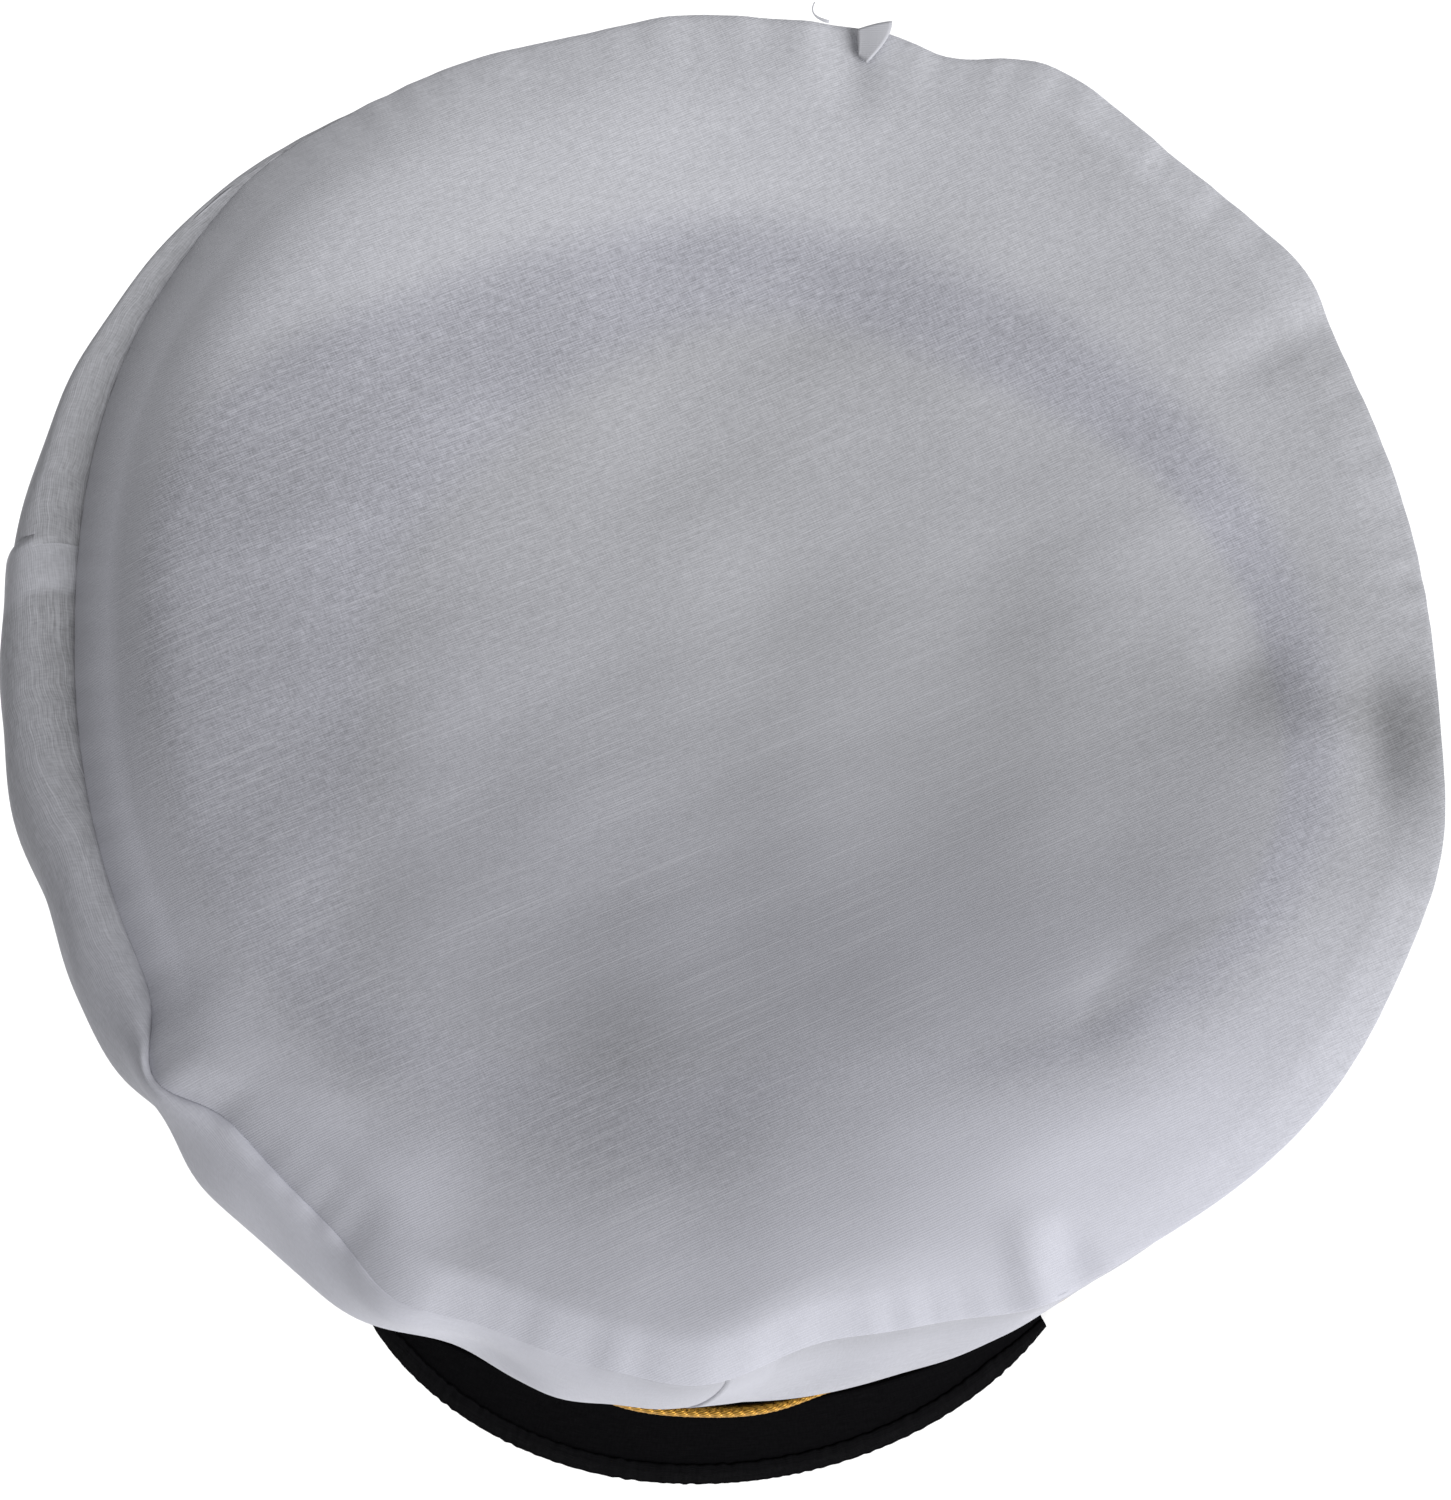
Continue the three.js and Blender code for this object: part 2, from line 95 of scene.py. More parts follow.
# Corners and tucks of the seam: where and how wide in degrees, and in millimetres how far out and up they
# pull it, and how much more the side panel swells below them
PINCHES = (
    {"at": 41, "width": 5, "out": 1.8, "up": 1.0, "puff": 0.0},
    {"at": 56, "width": 7, "out": -1.8, "up": 0.0, "puff": 0.0},
    {"at": 69, "width": 5, "out": 1.2, "up": 0.0, "puff": 0.0},
    {"at": 77, "width": 4.5, "out": -2.8, "up": 0.0, "puff": 0.0},
    {"at": 100, "width": 5, "out": 0.7, "up": 0.0, "puff": 0.0},
    {"at": 110, "width": 7, "out": -1.0, "up": 0.0, "puff": 0.0},
    {"at": 137, "width": 7, "out": 1.3, "up": 0.0, "puff": 0.0},
    {"at": 194, "width": 5, "out": 0.0, "up": 0.0, "puff": -1.3},
    {"at": 216, "width": 4, "out": 6.5, "up": 0.4, "puff": -4.6},
    {"at": 242, "width": 5, "out": 3.5, "up": 1.5, "puff": 0.0},
    {"at": 249, "width": 6, "out": 0.0, "up": 0.0, "puff": -3.0},
    {"at": 257, "width": 9, "out": 0.8, "up": 0.0, "puff": 1.2},
    {"at": 267, "width": 5, "out": 1.5, "up": 0.0, "puff": 0.0},
    {"at": 277, "width": 7, "out": -4.6, "up": 0.0, "puff": 0.9},
    {"at": 287, "width": 7, "out": -2.8, "up": 0.0, "puff": 1.1},
    {"at": 296, "width": 6, "out": 1.2, "up": 1.2, "puff": 0.0},
    {"at": 350, "width": 9, "out": 2.4, "up": 0.0, "puff": 0.0},
)

# How far in from the seam a pinch lifts the crown top, as a share of the way from its middle
PINCH_REACH = 0.72

# Folds of the crown top: a straight ridge or furrow from one place to another, each given by its angle and
# its reach from the middle (0) to the seam (1), then its width and height in millimetres
FOLDS = (
    (295.5, 1.00, 297, 0.84, 3, 1.6),
    (299.5, 1.00, 300, 0.88, 3, -1.8),
    (216, 1.00, 235, 0.70, 6, 0.3),
    (86, 1.00, 84, 0.84, 4, -1.3),
    (16, 0.72, -5, 0.73, 7, -1.8),
    (10, 0.89, -16, 0.97, 6, -4.0),
    (37, 1.00, 39, 0.76, 4, -1.2),
    (310, 0.70, 333, 0.68, 5, -1.0),
)

# Over which shares of its length a fold fades inwards, and one that starts inside the crown top rises
FOLD_FADES = 0.7
FOLD_RISES = 0.5

# How much of the fall of the peak's edge comes as a round turn near its ends
PEAK_END_TURN = 0.16

# Dark painted into the thin crown top's colour, partly the black band seen through the cloth and partly
# painted shade of the hollow below it, of folds and of overhangs, every 30 degrees round the band from the
# right side: where its ring starts and ends from the band's middle, in millimetres, how softly, and how dark
# it is inside that ring, in it and beyond it
SHADOW_ROWS = np.array([
    (92, 102, 4, 12, 0.31, 0.33, 0.36),
    (93, 103, 4, 8, 0.20, 0.31, 0.24),
    (83, 98, 8, 12, 0.32, 0.43, 0.11),
    (80, 96, 10, 12, 0.40, 0.40, 0.02),
    (68, 95, 16, 12, 0.44, 0.46, 0.08),
    (60, 104, 18, 12, 0.52, 0.54, 0.30),
    (52, 92, 18, 14, 0.55, 0.62, 0.22),
    (60, 82, 18, 18, 0.56, 0.51, 0.15),
    (50, 72, 18, 22, 0.58, 0.52, 0.22),
    (44, 68, 16, 28, 0.62, 0.58, 0.22),
    (46, 60, 16, 34, 0.42, 0.33, 0.04),
    (70, 84, 8, 20, 0.36, 0.38, 0.06),
])
SHADOW = dict(zip(("start", "end", "start_soft", "end_soft", "hollow", "ring", "beyond"), SHADOW_ROWS.T))

# How much it varies from place to place
SHADOW_PATCHINESS = 0.08

# Places with painted shade or painted light, darker or lighter than that: angle, reach from the crown top's
# middle (0) to its seam (1), half-length outwards and half-width in millimetres, and change
SHADOW_PLACES = (
    (5, 0.72, 30, 8, 0.06),
    (-1.6, 0.98, 6, 13, 0.30),
    (23, 0.76, 20, 14, -0.05),
    (68, 0.71, 8, 18, 0.08),
    (54, 0.66, 12, 14, -0.07),
    (219, 0.97, 8, 8, 0.22),
    (238.5, 0.92, 15, 6, -0.22),
    (246, 0.90, 14, 6, 0.17),
    (282, 0.725, 14, 9, 0.12),
    (161, 0.84, 8, 10, 0.11),
    (230, 0.92, 9, 9, -0.10),
    (255.8, 0.845, 10, 8, 0.08),
    (33, 0.98, 9, 12, 0.22),
    (61.7, 0.93, 10, 10, 0.10),
    (1.5, 0.86, 15, 6, 0.30),
    (6, 0.50, 18, 14, 0.10),
    (322, 0.72, 5, 6, -0.14),
)

# Edges along which shade is painted on one side: angle and reach of both ends, bow towards the dark side
# and width of the dark in millimetres, and change
SHADOW_EDGES = (
    (307.7, 0.73, 340, 0.82, -11, 6, 0.18),
    (234, 0.81, 215, 1.00, 0, 22, 0.07),
)

# How softly such an edge starts, in metres, and over which shares of its length it comes and goes
EDGE_SOFTNESS = 0.002
EDGE_COMES = 0.25
EDGE_GOES = 0.35

# Painted shade on the side panels, partly the dark hat seen through them and partly shade where the crown
# top overhangs them, every 30 degrees round the band from the right side. Where the curve through these
# falls below nought, there is none
PANEL_SHADOW = np.array([0.2, 0.2, 0.2, 0.2, 0.25, 0.34, 0.56, 0.38, -0.15, 0.25, 0.25, 0.2])

# The seams between the side panels, then each panel with its two seams and its height as cut, in metres
PANEL_SEAMS = {"right": -1.0, "back": 83.0, "left": 170.4, "front": 269.0}
PANELS = (
    ("quarter_back_right", PANEL_SEAMS["right"], PANEL_SEAMS["back"], 0.0375),
    ("quarter_back_left", PANEL_SEAMS["back"], PANEL_SEAMS["left"], 0.040),
    ("quarter_front_left", PANEL_SEAMS["left"], PANEL_SEAMS["front"], 0.036),
    ("quarter_front_right", PANEL_SEAMS["front"], PANEL_SEAMS["right"] + 360.0, 0.0275),
)


# Settings that a user would change


def size_setting(label, text, value):
    """A length in metres."""
    return bpy.props.FloatProperty(name=label, description=text, default=value, precision=5, unit="LENGTH")


def share_setting(label, text, value):
    """A plain number."""
    return bpy.props.FloatProperty(name=label, description=text, default=value, precision=3)


def angle_setting(label, text, degrees):
    """An angle, kept in radians."""
    value = math.radians(degrees)
    return bpy.props.FloatProperty(name=label, description=text, default=value, subtype="ANGLE")


def colour_setting(label, text, value):
    """A colour in linear red, green and blue."""
    return bpy.props.FloatVectorProperty(name=label, description=text, default=value, size=3, min=0, max=1,
                                         subtype="COLOR")


class CaptainHatCrown(bpy.types.PropertyGroup):
    """Sizes and finish of the white cloth crown."""

    lean_right: size_setting("Lean right", "How far the crown lies to the right of the band", 0.0083)
    lean_back: size_setting("Lean back", "How far the crown lies behind the band", 0.017)
    dip_height: size_setting("Dip height", "Height of the middle of the crown top", 0.047)
    middle_crest: share_setting("Middle crest", "Reach of the crest that the crown's middle follows", 0.8)
    panel_rise: size_setting("Panel rise", "How far a side panel stands up from the band", 0.006)
    panel_spread: size_setting("Panel spread", "How far it leans out over that rise", 0.00275)
    panel_push: share_setting("Panel push", "How much further it leans out, as a share of its swell", 1.4)
    seam_drop: size_setting("Seam drop", "From the crown top down to the side panels' upper edge", 0.0001)
    cloth: size_setting("Cloth", "Thickness of the crown cloth", 0.0008)
    thread: size_setting("Thread", "Spacing of the threads of the cloth", 0.00038)
    weave_turn: angle_setting("Weave turn", "Turn of the crown top's threads from the hat's width", 27)
    colour: colour_setting("Cloth colour", "Colour of the cloth where it lies double", (0.58, 0.585, 0.627))
    # The shaded colour is what the painted dark tends to: partly the hat seen through, partly painted shade
    shade: colour_setting("Shaded colour", "Colour where the dark hat shows through", (0.208, 0.209, 0.213))


class CaptainHatBand(bpy.types.PropertyGroup):
    """Sizes and finish of the black head band."""

    width: size_setting("Width", "Outside width from side to side", 0.203)
    length: size_setting("Length", "Outside length from front to back", 0.196)
    height: size_setting("Height", "Height of the band", 0.038)
    wall: size_setting("Wall", "Thickness of the band", 0.0025)
    colour: colour_setting("Band colour", "Colour of the woven band", (0.010, 0.010, 0.0115))


class CaptainHatPeak(bpy.types.PropertyGroup):
    """Sizes and finish of the peak and its binding."""

    depth: size_setting("Depth", "From the band to the peak's edge, at its deepest", 0.033)
    deepest: angle_setting("Deepest", "Where round the band the peak is deepest", 266.6)
    end_depth: size_setting("End depth", "From the band to the peak's edge, at its ends", 0.0042)
    slope: angle_setting("Slope", "Slope below the level of the band", 66.5)
    span: angle_setting("Span", "Reach round the band to each side of its middle", 33.5)
    board: size_setting("Board", "Thickness of the peak", 0.0016)
    seat: size_setting("Seat", "Height of the peak's upper edge on the band", 0.0025)
    gap: size_setting("Gap", "Clearance between pieces that touch", 0.0003)
    lap: size_setting("Lap", "How far the binding reaches over the board", 0.007)
    binding: size_setting("Binding", "Thickness of the binding", 0.0009)
    colour: colour_setting("Cover colour", "Colour of the peak's cover", (0.0034, 0.0033, 0.0038))
    edge_colour: colour_setting("Binding colour", "Colour of the binding", (0.0049, 0.0048, 0.0054))


class CaptainHatTrim(bpy.types.PropertyGroup):
    """Sizes and finish of the gold braid and buttons."""

    height: size_setting("Height", "Height of the braid's middle on the band", 0.007)
    tall: size_setting("Tall", "Height of the braid from edge to edge", 0.0045)
    thick: size_setting("Thick", "Thickness of the braid where it stands off", 0.0022)
    end_thick: size_setting("End thickness", "Thickness of the braid where it is pulled flat", 0.0007)
    bow: size_setting("Bow", "How far the braid stands off the band near its middle", 0.0013)
    bow_at: angle_setting("Bow place", "Where the braid stands off most", 271.2)
    bow_width: angle_setting("Bow width", "Half the width of the part that stands off", 10.5)
    pitch: size_setting("Pitch", "Length in which a strand of the plait comes back to its place", 0.0054)
    button_radius: size_setting("Button radius", "Radius of a button", 0.005)
    button_rim: size_setting("Button rim", "Height of a button's rim", 0.0008)
    button_dome: size_setting("Button dome", "Height of a button's dome above its rim", 0.0012)
    gold: colour_setting("Gold", "Colour of the braid's metal thread", (0.66, 0.36, 0.06))
    brass: colour_setting("Brass", "Colour of the buttons", (0.78, 0.52, 0.17))


class CaptainHatStage(bpy.types.PropertyGroup):
    """The floor, the light and the camera."""

    camera_height: size_setting("Camera height", "Height of the camera above the floor", 0.8)
    camera_x: size_setting("Camera X", "Where the camera stands from side to side", -0.00002)
    camera_y: size_setting("Camera Y", "Where the camera stands from front to back", 0.00329)
    camera_turn: angle_setting("Camera turn", "Turn of the camera about its line of sight", 2.8)
    lens: share_setting("Lens", "Focal length in millimetres on a 36 mm sensor", 108.3)
    key_strength: share_setting("Key light", "Strength of the soft light from the front right", 2.9)
    floor_strength: share_setting("Floor light", "Strength of the soft light from above on the floor", 3.2)
    sky: share_setting("Sky", "Strength of the light from all round", 0.3)
    floor_colour: colour_setting("Floor colour", "Colour of the floor", (0.93, 0.93, 0.93))


# Form of the hat


def turned(angle):
    """Cosine and sine of angles in degrees."""
    return np.cos(np.radians(angle)), np.sin(np.radians(angle))


def swung(x, y, turn):
    """Places along and across a direction that is turned from the first axis, in radians."""
    along = x * math.cos(turn) + y * math.sin(turn)
    across = y * math.cos(turn) - x * math.sin(turn)
    return along, across


def eased(value, start=0.0, span=1.0):
    """How far a value has come over a span, with no slope at its ends: 3 s squared less 2 s cubed."""
    share = np.clip((value - start) / span, 0.0, 1.0)
    return share * share * (3.0 - 2.0 * share)


def bell(offset, width, power=2):
    """A bell, one in its middle: e to the minus of a power of the offset over its width."""
    return np.exp(-((offset / width) ** power))


def angle_from(place, angle):
    """How far angles lie from a place, the shorter way round."""
    return np.mod(angle - place + 180.0, 360.0) - 180.0


def bent(start, turn, end, share):
    """A quadratic curve from start to end, drawn towards a turn between them."""
    rest = 1.0 - share
    return start * rest**2 + 2.0 * turn * share * rest + end * share**2


def round_curve(values, angle):
    """A smooth closed curve (Catmull-Rom) through values that are spaced evenly round a turn."""
    count = len(values)
    place = np.mod(angle, 360.0) / 360.0 * count
    row = np.floor(place).astype(int)
    share = place - row
    before, start, end, after = (values[(row + step) % count] for step in (-1, 0, 1, 2))
    bend = 3.0 * (start - end) + after - before
    turn = 2.0 * before - 5.0 * start + 4.0 * end - after
    return start + 0.5 * share * (end - before + share * (turn + share * bend))


def section(column, angle):
    """One column of the crown's sections, in metres, or as a share for the crest."""
    scale = 1.0 if column == "crest" else MM
    return round_curve(SECTIONS[column] * scale, angle)


def pinch(column, angle):
    """The corners and tucks of the seam, each a bell over its own width."""
    total = np.zeros_like(angle)
    for tuck in PINCHES:
        total += tuck[column] * MM * bell(angle_from(tuck["at"], angle), tuck["width"])
    return total


def outwards(band, angle):
    """Outward direction of the band's oval wall."""
    across, along = turned(angle)
    direction = np.stack([across / band.width, along / band.length, np.zeros_like(across)], -1)
    return direction / np.linalg.norm(direction, axis=-1, keepdims=True)


def beside_band(band, angle, distance, height):
    """A point at a distance outside the band's oval outer face."""
    across, along = turned(angle)
    foot = np.stack([band.width / 2 * across, band.length / 2 * along, np.zeros_like(across) + height], -1)
    return foot + outwards(band, angle) * np.asarray(distance)[..., None]


def run_round(band, angle):
    """Length round the band that an angle takes up, at half of the band's width."""
    return np.radians(angle) * band.width / 2.0


def angle_round(band, length):
    """Angle in degrees that a length takes up round the band."""
    return math.degrees(2.0 * length / band.width)


def crown_plan(crown, angle, reach):
    """Plan of the crown top: round in its middle, and more and more like its seam further out."""
    across, along = turned(angle)
    middle = np.mean(SECTIONS["seam"]) * MM
    radius = reach * (middle + (section("seam", angle) - middle) * eased(reach))
    radius = radius + pinch("out", angle) * near_seam(reach)
    return crown.lean_right + radius * across, crown.lean_back + radius * along


def near_seam(reach):
    """How fully a pinch of the seam pulls at the crown top there."""
    return eased(reach, PINCH_REACH, 1.0 - PINCH_REACH)


def beside_run(crown, ends, x, y):
    """Where places lie by a straight run over the crown top: their share along it, and how far aside."""
    start_angle, start_reach, end_angle, end_reach = ends
    start = np.array(crown_plan(crown, np.float64(start_angle), start_reach))
    run = np.array(crown_plan(crown, np.float64(end_angle), end_reach)) - start
    length = np.hypot(*run)
    share = ((x - start[0]) * run[0] + (y - start[1]) * run[1]) / length**2
    aside = ((x - start[0]) * run[1] - (y - start[1]) * run[0]) / length
    return share, aside


def fold_height(crown, x, y):
    """Folds of the crown top, each a bell across a straight run. They fade inwards from the seam."""
    total = np.zeros_like(x)
    for *ends, width, height in FOLDS:
        share, aside = beside_run(crown, ends, x, y)
        at_seam = ends[1] == 1.0
        rising = 1.0 if at_seam else eased(share / FOLD_RISES)
        fading = eased((1.0 - share) / FOLD_FADES)
        total += height * MM * rising * fading * bell(aside, width * MM)
    return total


def limp_sheet(edge, angle, reach):
    """Height of a slack sheet inside its edge: every wave of the edge fades as reach to the wave's number."""
    count = len(edge)
    waves_round = np.fft.rfft(edge) / count
    total = np.full(np.broadcast(angle, reach).shape, waves_round[0].real)
    for number in range(1, count // 2 + 1):
        across, along = turned(number * angle)
        weight = 1.0 if 2 * number == count else 2.0
        size = weight * (waves_round[number].real * across - waves_round[number].imag * along)
        total = total + size * reach**number
    return total


def crown_top_form(crown, angle, reach):
    """The crown top: a slack sheet that sags, up to its crest, then a curve down to its seam."""
    x, y = crown_plan(crown, angle, reach)
    shoulder = section("shoulder", angle)
    crest = section("crest", angle)
    near_middle = crown.middle_crest + (crest - crown.middle_crest) * eased(reach / crown.middle_crest)
    inner = np.minimum(reach / near_middle, 1.0)
    # The sheet comes to its crest with no slope
    level = inner * (1.5 - 0.5 * inner**2)
    edge = (SECTIONS["height"] + SECTIONS["shoulder"]) * MM
    held = limp_sheet(edge, angle, level)
    sag = (np.mean(edge) - crown.dip_height) * (1.0 - inner**2) ** 2
    fall = shoulder * np.maximum((reach - crest) / (1.0 - crest), 0.0) ** 2
    lifted = pinch("up", angle) * near_seam(reach)
    z = held - sag - fall + lifted + fold_height(crown, x, y)
    return np.stack([x, y, z], -1)


def side_form(crown, band, angle, climb):
    """A side panel's cloth: a Bezier curve from the band's edge (climb 0) to the crown's seam (climb 1)."""
    out = outwards(band, angle)
    foot = beside_band(band, angle, np.full_like(angle, -band.wall / 2), band.height)
    head = crown_top_form(crown, angle, np.ones_like(angle)) - UP * crown.seam_drop
    puff = (section("puff", angle) + pinch("puff", angle))[..., None]
    stand = foot + out * (crown.panel_spread + crown.panel_push * puff) + UP * crown.panel_rise
    swell = head + out * puff - UP * section("sag", angle)[..., None]
    c = climb[..., None]
    rest = 1.0 - c
    return foot * rest**3 + 3.0 * stand * rest**2 * c + 3.0 * swell * rest * c**2 + head * c**3


def peak_depth(peak, angle):
    """Depth of the peak: it falls with the square, and near its ends with the sixth power too."""
    past = angle - math.degrees(peak.deepest)
    end = FRONT + np.sign(past) * math.degrees(peak.span)
    share = past / (end - math.degrees(peak.deepest))
    fall = (1.0 - PEAK_END_TURN) * share**2 + PEAK_END_TURN * share**6
    return peak.depth + (peak.end_depth - peak.depth) * fall


def peak_directions(peak, band, angle):
    """Directions down the peak and square to its upper side."""
    out = outwards(band, angle)
    down = out * math.cos(peak.slope) - UP * math.sin(peak.slope)
    face = out * math.sin(peak.slope) + UP * math.cos(peak.slope)
    return down, face


def peak_form(peak, band, angle, distance, lift):
    """A point of the peak at a distance down from the band, lifted square to its middle surface."""
    down, face = peak_directions(peak, band, angle)
    start = beside_band(band, angle, np.full_like(angle, peak.gap + peak.board / 2), peak.seat)
    return start + down * np.asarray(distance)[..., None] + face * np.asarray(lift)[..., None]


def peak_angles(peak, steps, corners):
    """Angles from one end of the peak to the other, the same for every corner of a section."""
    reach = math.degrees(peak.span)
    return np.broadcast_to(np.linspace(FRONT - reach, FRONT + reach, steps)[:, None], (steps, corners))


def button_reach(trim, band, peak):
    """Angle from the front to the middle of a button, which stands just past the end of the peak."""
    return math.degrees(peak.span) + angle_round(band, trim.button_radius)


# Shortest and longest of a sum of waves, as shares of the length that is asked for
WAVE_LENGTHS = (0.6, 1.6)


def waves(x, y, length, count, seed, stretch=1.0, turn=0.0):
    """Soft uneven waves: a sum of cosines in seeded directions, longer by stretch along turn."""
    draw = np.random.default_rng(seed)
    along, across = swung(x, y, turn)
    total = np.zeros_like(x)
    for _ in range(count):
        way = draw.uniform(0.0, math.tau)
        step = math.tau / (length * draw.uniform(*WAVE_LENGTHS))
        phase = draw.uniform(0.0, math.tau)
        total += np.cos(step * (along / stretch * math.cos(way) + across * math.sin(way)) + phase)
    return total / math.sqrt(count)


def puckers(angle, lowest, highest, count, seed):
    """Uneven ripples round a seam: a sum of cosines with whole numbers of waves in a turn."""
    draw = np.random.default_rng(seed)
    total = np.zeros_like(angle)
    for _ in range(count):
        number = draw.integers(lowest, highest)
        total += np.cos(np.radians(angle) * number + draw.uniform(0.0, math.tau))
    return total / math.sqrt(count)


def settled(points):
    """Level hat to resting hat: tipped back about its width, then moved to where it stands."""
    x, y, z = np.moveaxis(points, -1, 0)
    back, high = swung(y, z, TILT)
    return np.stack([x, back, high], -1) + ORIGIN


# Meshes from whole arrays of points


def piece_object(name, points, faces):
    """A smooth-shaded object at the origin, with its place in its mesh."""
    mesh = bpy.data.meshes.new(name)
    mesh.from_pydata(points.reshape(-1, 3).tolist(), [], faces)
    mesh.shade_smooth()
    mesh.update()
    piece = bpy.data.objects.new(name, mesh)
    bpy.context.scene.collection.objects.link(piece)
    return piece


def give_map(piece, flat):
    """A UV map in metres, from one pair of numbers for each vertex."""
    mesh = piece.data
    corners = np.empty(len(mesh.loops), dtype=np.int32)
    mesh.loops.foreach_get("vertex_index", corners)
    mapped = flat.reshape(-1, 2)[corners]
    mesh.uv_layers.new(name="cloth").data.foreach_set("uv", mapped.astype(np.float32).ravel())


def give_value(piece, name, values):
    """A number for each vertex, which the materials read by its name."""
    layer = piece.data.attributes.new(name, "FLOAT", "POINT")
    layer.data.foreach_set("value", values.astype(np.float32).ravel())


def sheet_faces(rows, columns, closed, flipped):
    """Quads of a grid of points, row by row, closed from the last column to the first if asked."""
    last = columns if closed else columns - 1
    row, column = np.meshgrid(np.arange(rows - 1), np.arange(last), indexing="ij")
    beside = (column + 1) % columns
    quads = np.stack([row * columns + column, (row + 1) * columns + column,
                      (row + 1) * columns + beside, row * columns + beside], -1).reshape(-1, 4)
    return quads[:, ::-1] if flipped else quads


def tube_faces(points, closed_path):
    """Faces of closed tubes, points[tube, step, corner], with flat ends where the path is open."""
    tubes, steps, corners = points.shape[:3]
    last = steps if closed_path else steps - 1
    tube, step, corner = np.meshgrid(np.arange(tubes), np.arange(last), np.arange(corners), indexing="ij")
    after = (step + 1) % steps
    beside = (corner + 1) % corners

    def index(which, place):
        return (tube * steps + which) * corners + place

    quads = np.stack([index(step, corner), index(after, corner),
                      index(after, beside), index(step, beside)], -1)
    faces = quads.reshape(-1, 4).tolist()
    if not closed_path:
        ring = np.arange(corners)
        for start in range(tubes):
            first = start * steps * corners
            faces.append((first + ring).tolist())
            faces.append((first + (steps - 1) * corners + ring[::-1]).tolist())
    return faces


def enclosed(points, faces):
    """Volume inside four-sided faces, below zero where they point inwards. Flat ends are left out of it."""
    flat = points.reshape(-1, 3)
    quads = np.array([face for face in faces if len(face) == 4])
    first, second, third, fourth = (flat[quads[:, corner]] for corner in range(4))
    return np.einsum("ij,ij->", first, np.cross(second, third) + np.cross(third, fourth)) / 6.0


def tube_object(name, points, closed_path=False):
    """Closed tubes as one object, their faces pointing outwards."""
    faces = tube_faces(points, closed_path)
    if enclosed(points, faces) < 0.0:
        faces = [face[::-1] for face in faces]
    return piece_object(name, points, faces)


def thicken(piece, thickness):
    """Gives a cloth surface its thickness, towards its inside."""
    wall = piece.modifiers.new("thickness", "SOLIDIFY")
    wall.thickness = thickness
    wall.offset = -1.0


def lengths(points, axis):
    """Running length in metres along one axis of a grid of points."""
    step = np.linalg.norm(np.diff(points, axis=axis), axis=-1)
    start = np.zeros_like(np.take(step, [0], axis=axis))
    return np.concatenate([start, np.cumsum(step, axis=axis)], axis=axis)


# Materials


def feed(tree, socket, value):
    """Links an input to another socket, or sets its value."""
    if isinstance(value, bpy.types.NodeSocket):
        tree.links.new(value, socket)
    else:
        socket.default_value = value


def put(tree, kind, inputs=None, **options):
    """Adds a node, sets its options, and links or sets each named input."""
    made = tree.nodes.new(kind)
    for name, value in options.items():
        setattr(made, name, value)
    for name, value in (inputs or {}).items():
        feed(tree, made.inputs[name], value)
    return made


def added(tree, first, second):
    """Two values added up."""
    return put(tree, "ShaderNodeMath", {0: first, 1: second}, operation="ADD").outputs[0]


def product(tree, first, *others):
    """Values multiplied together."""
    for other in others:
        first = put(tree, "ShaderNodeMath", {0: first, 1: other}, operation="MULTIPLY").outputs[0]
    return first


def weighted(tree, first, first_share, second, second_share):
    """Two values added up, each times its share."""
    return added(tree, product(tree, first, first_share), product(tree, second, second_share))


def remap(tree, value, start, end, low=0.0, high=1.0):
    """A value between low and high, moved to between start and end and kept there."""
    inputs = {"Value": value, "From Min": low, "From Max": high, "To Min": start, "To Max": end}
    return put(tree, "ShaderNodeMapRange", inputs).outputs["Result"]


# Places of the colour sockets of a Mix node
MIX_SHARE = 0
MIX_FIRST = 6
MIX_SECOND = 7
MIX_RESULT = 2


def blended(tree, share, first, second, kind="MIX"):
    """Two colours mixed by a share."""
    inputs = {MIX_SHARE: share, MIX_FIRST: first, MIX_SECOND: second}
    return put(tree, "ShaderNodeMix", inputs, data_type="RGBA", blend_type=kind).outputs[MIX_RESULT]


def times(tree, colour, light):
    """A colour multiplied by a light or by another colour."""
    return blended(tree, 1.0, colour, light, "MULTIPLY")


def full(colour):
    """A colour with its alpha."""
    return (*colour, 1.0)


def threads(tree, place, along, across, detail=1.0):
    """Noise drawn out into threads: a scale along them and a scale across them."""
    mapped = put(tree, "ShaderNodeMapping", {"Vector": place, "Scale": (along, across, 1.0)}).outputs[0]
    noise = put(tree, "ShaderNodeTexNoise", {"Vector": mapped, "Scale": 1.0, "Detail": detail},
                noise_dimensions="2D")
    return noise.outputs["Fac"]


def object_noise(tree, scale, detail):
    """Noise that keeps its place on the piece."""
    place = put(tree, "ShaderNodeTexCoord").outputs["Object"]
    return put(tree, "ShaderNodeTexNoise", {"Vector": place, "Scale": scale, "Detail": detail}).outputs["Fac"]


# Scale of a Wave texture whose lines lie one unit apart
WAVE_TURN = math.pi / 10.0

# Noise scales along and across the threads of the weft, of the warp and of the few thick threads
WEFT_SCALES = (0.16, 1.3)
WARP_SCALES = (1.3, 0.22)
SLUB_SCALES = (0.014, 0.9)

# How much of the weave is weft, warp and even lines, and how far those lines stand out
WEFT_SHARE = 0.38
WARP_SHARE = 0.3
LINES_SHARE = 0.32
LINES_SPREAD = (0.36, 0.64)

# How much of its relief is the weave itself, and how much its even lines
WEAVE_RELIEF = 0.75
LINES_RELIEF = 0.25

# Levels that count as 0 and 1: of a noise or a weave, and of the noise of the thick threads
MIDDLE_LEVELS = (0.3, 0.7)
SLUB_LEVELS = (0.66, 0.78)

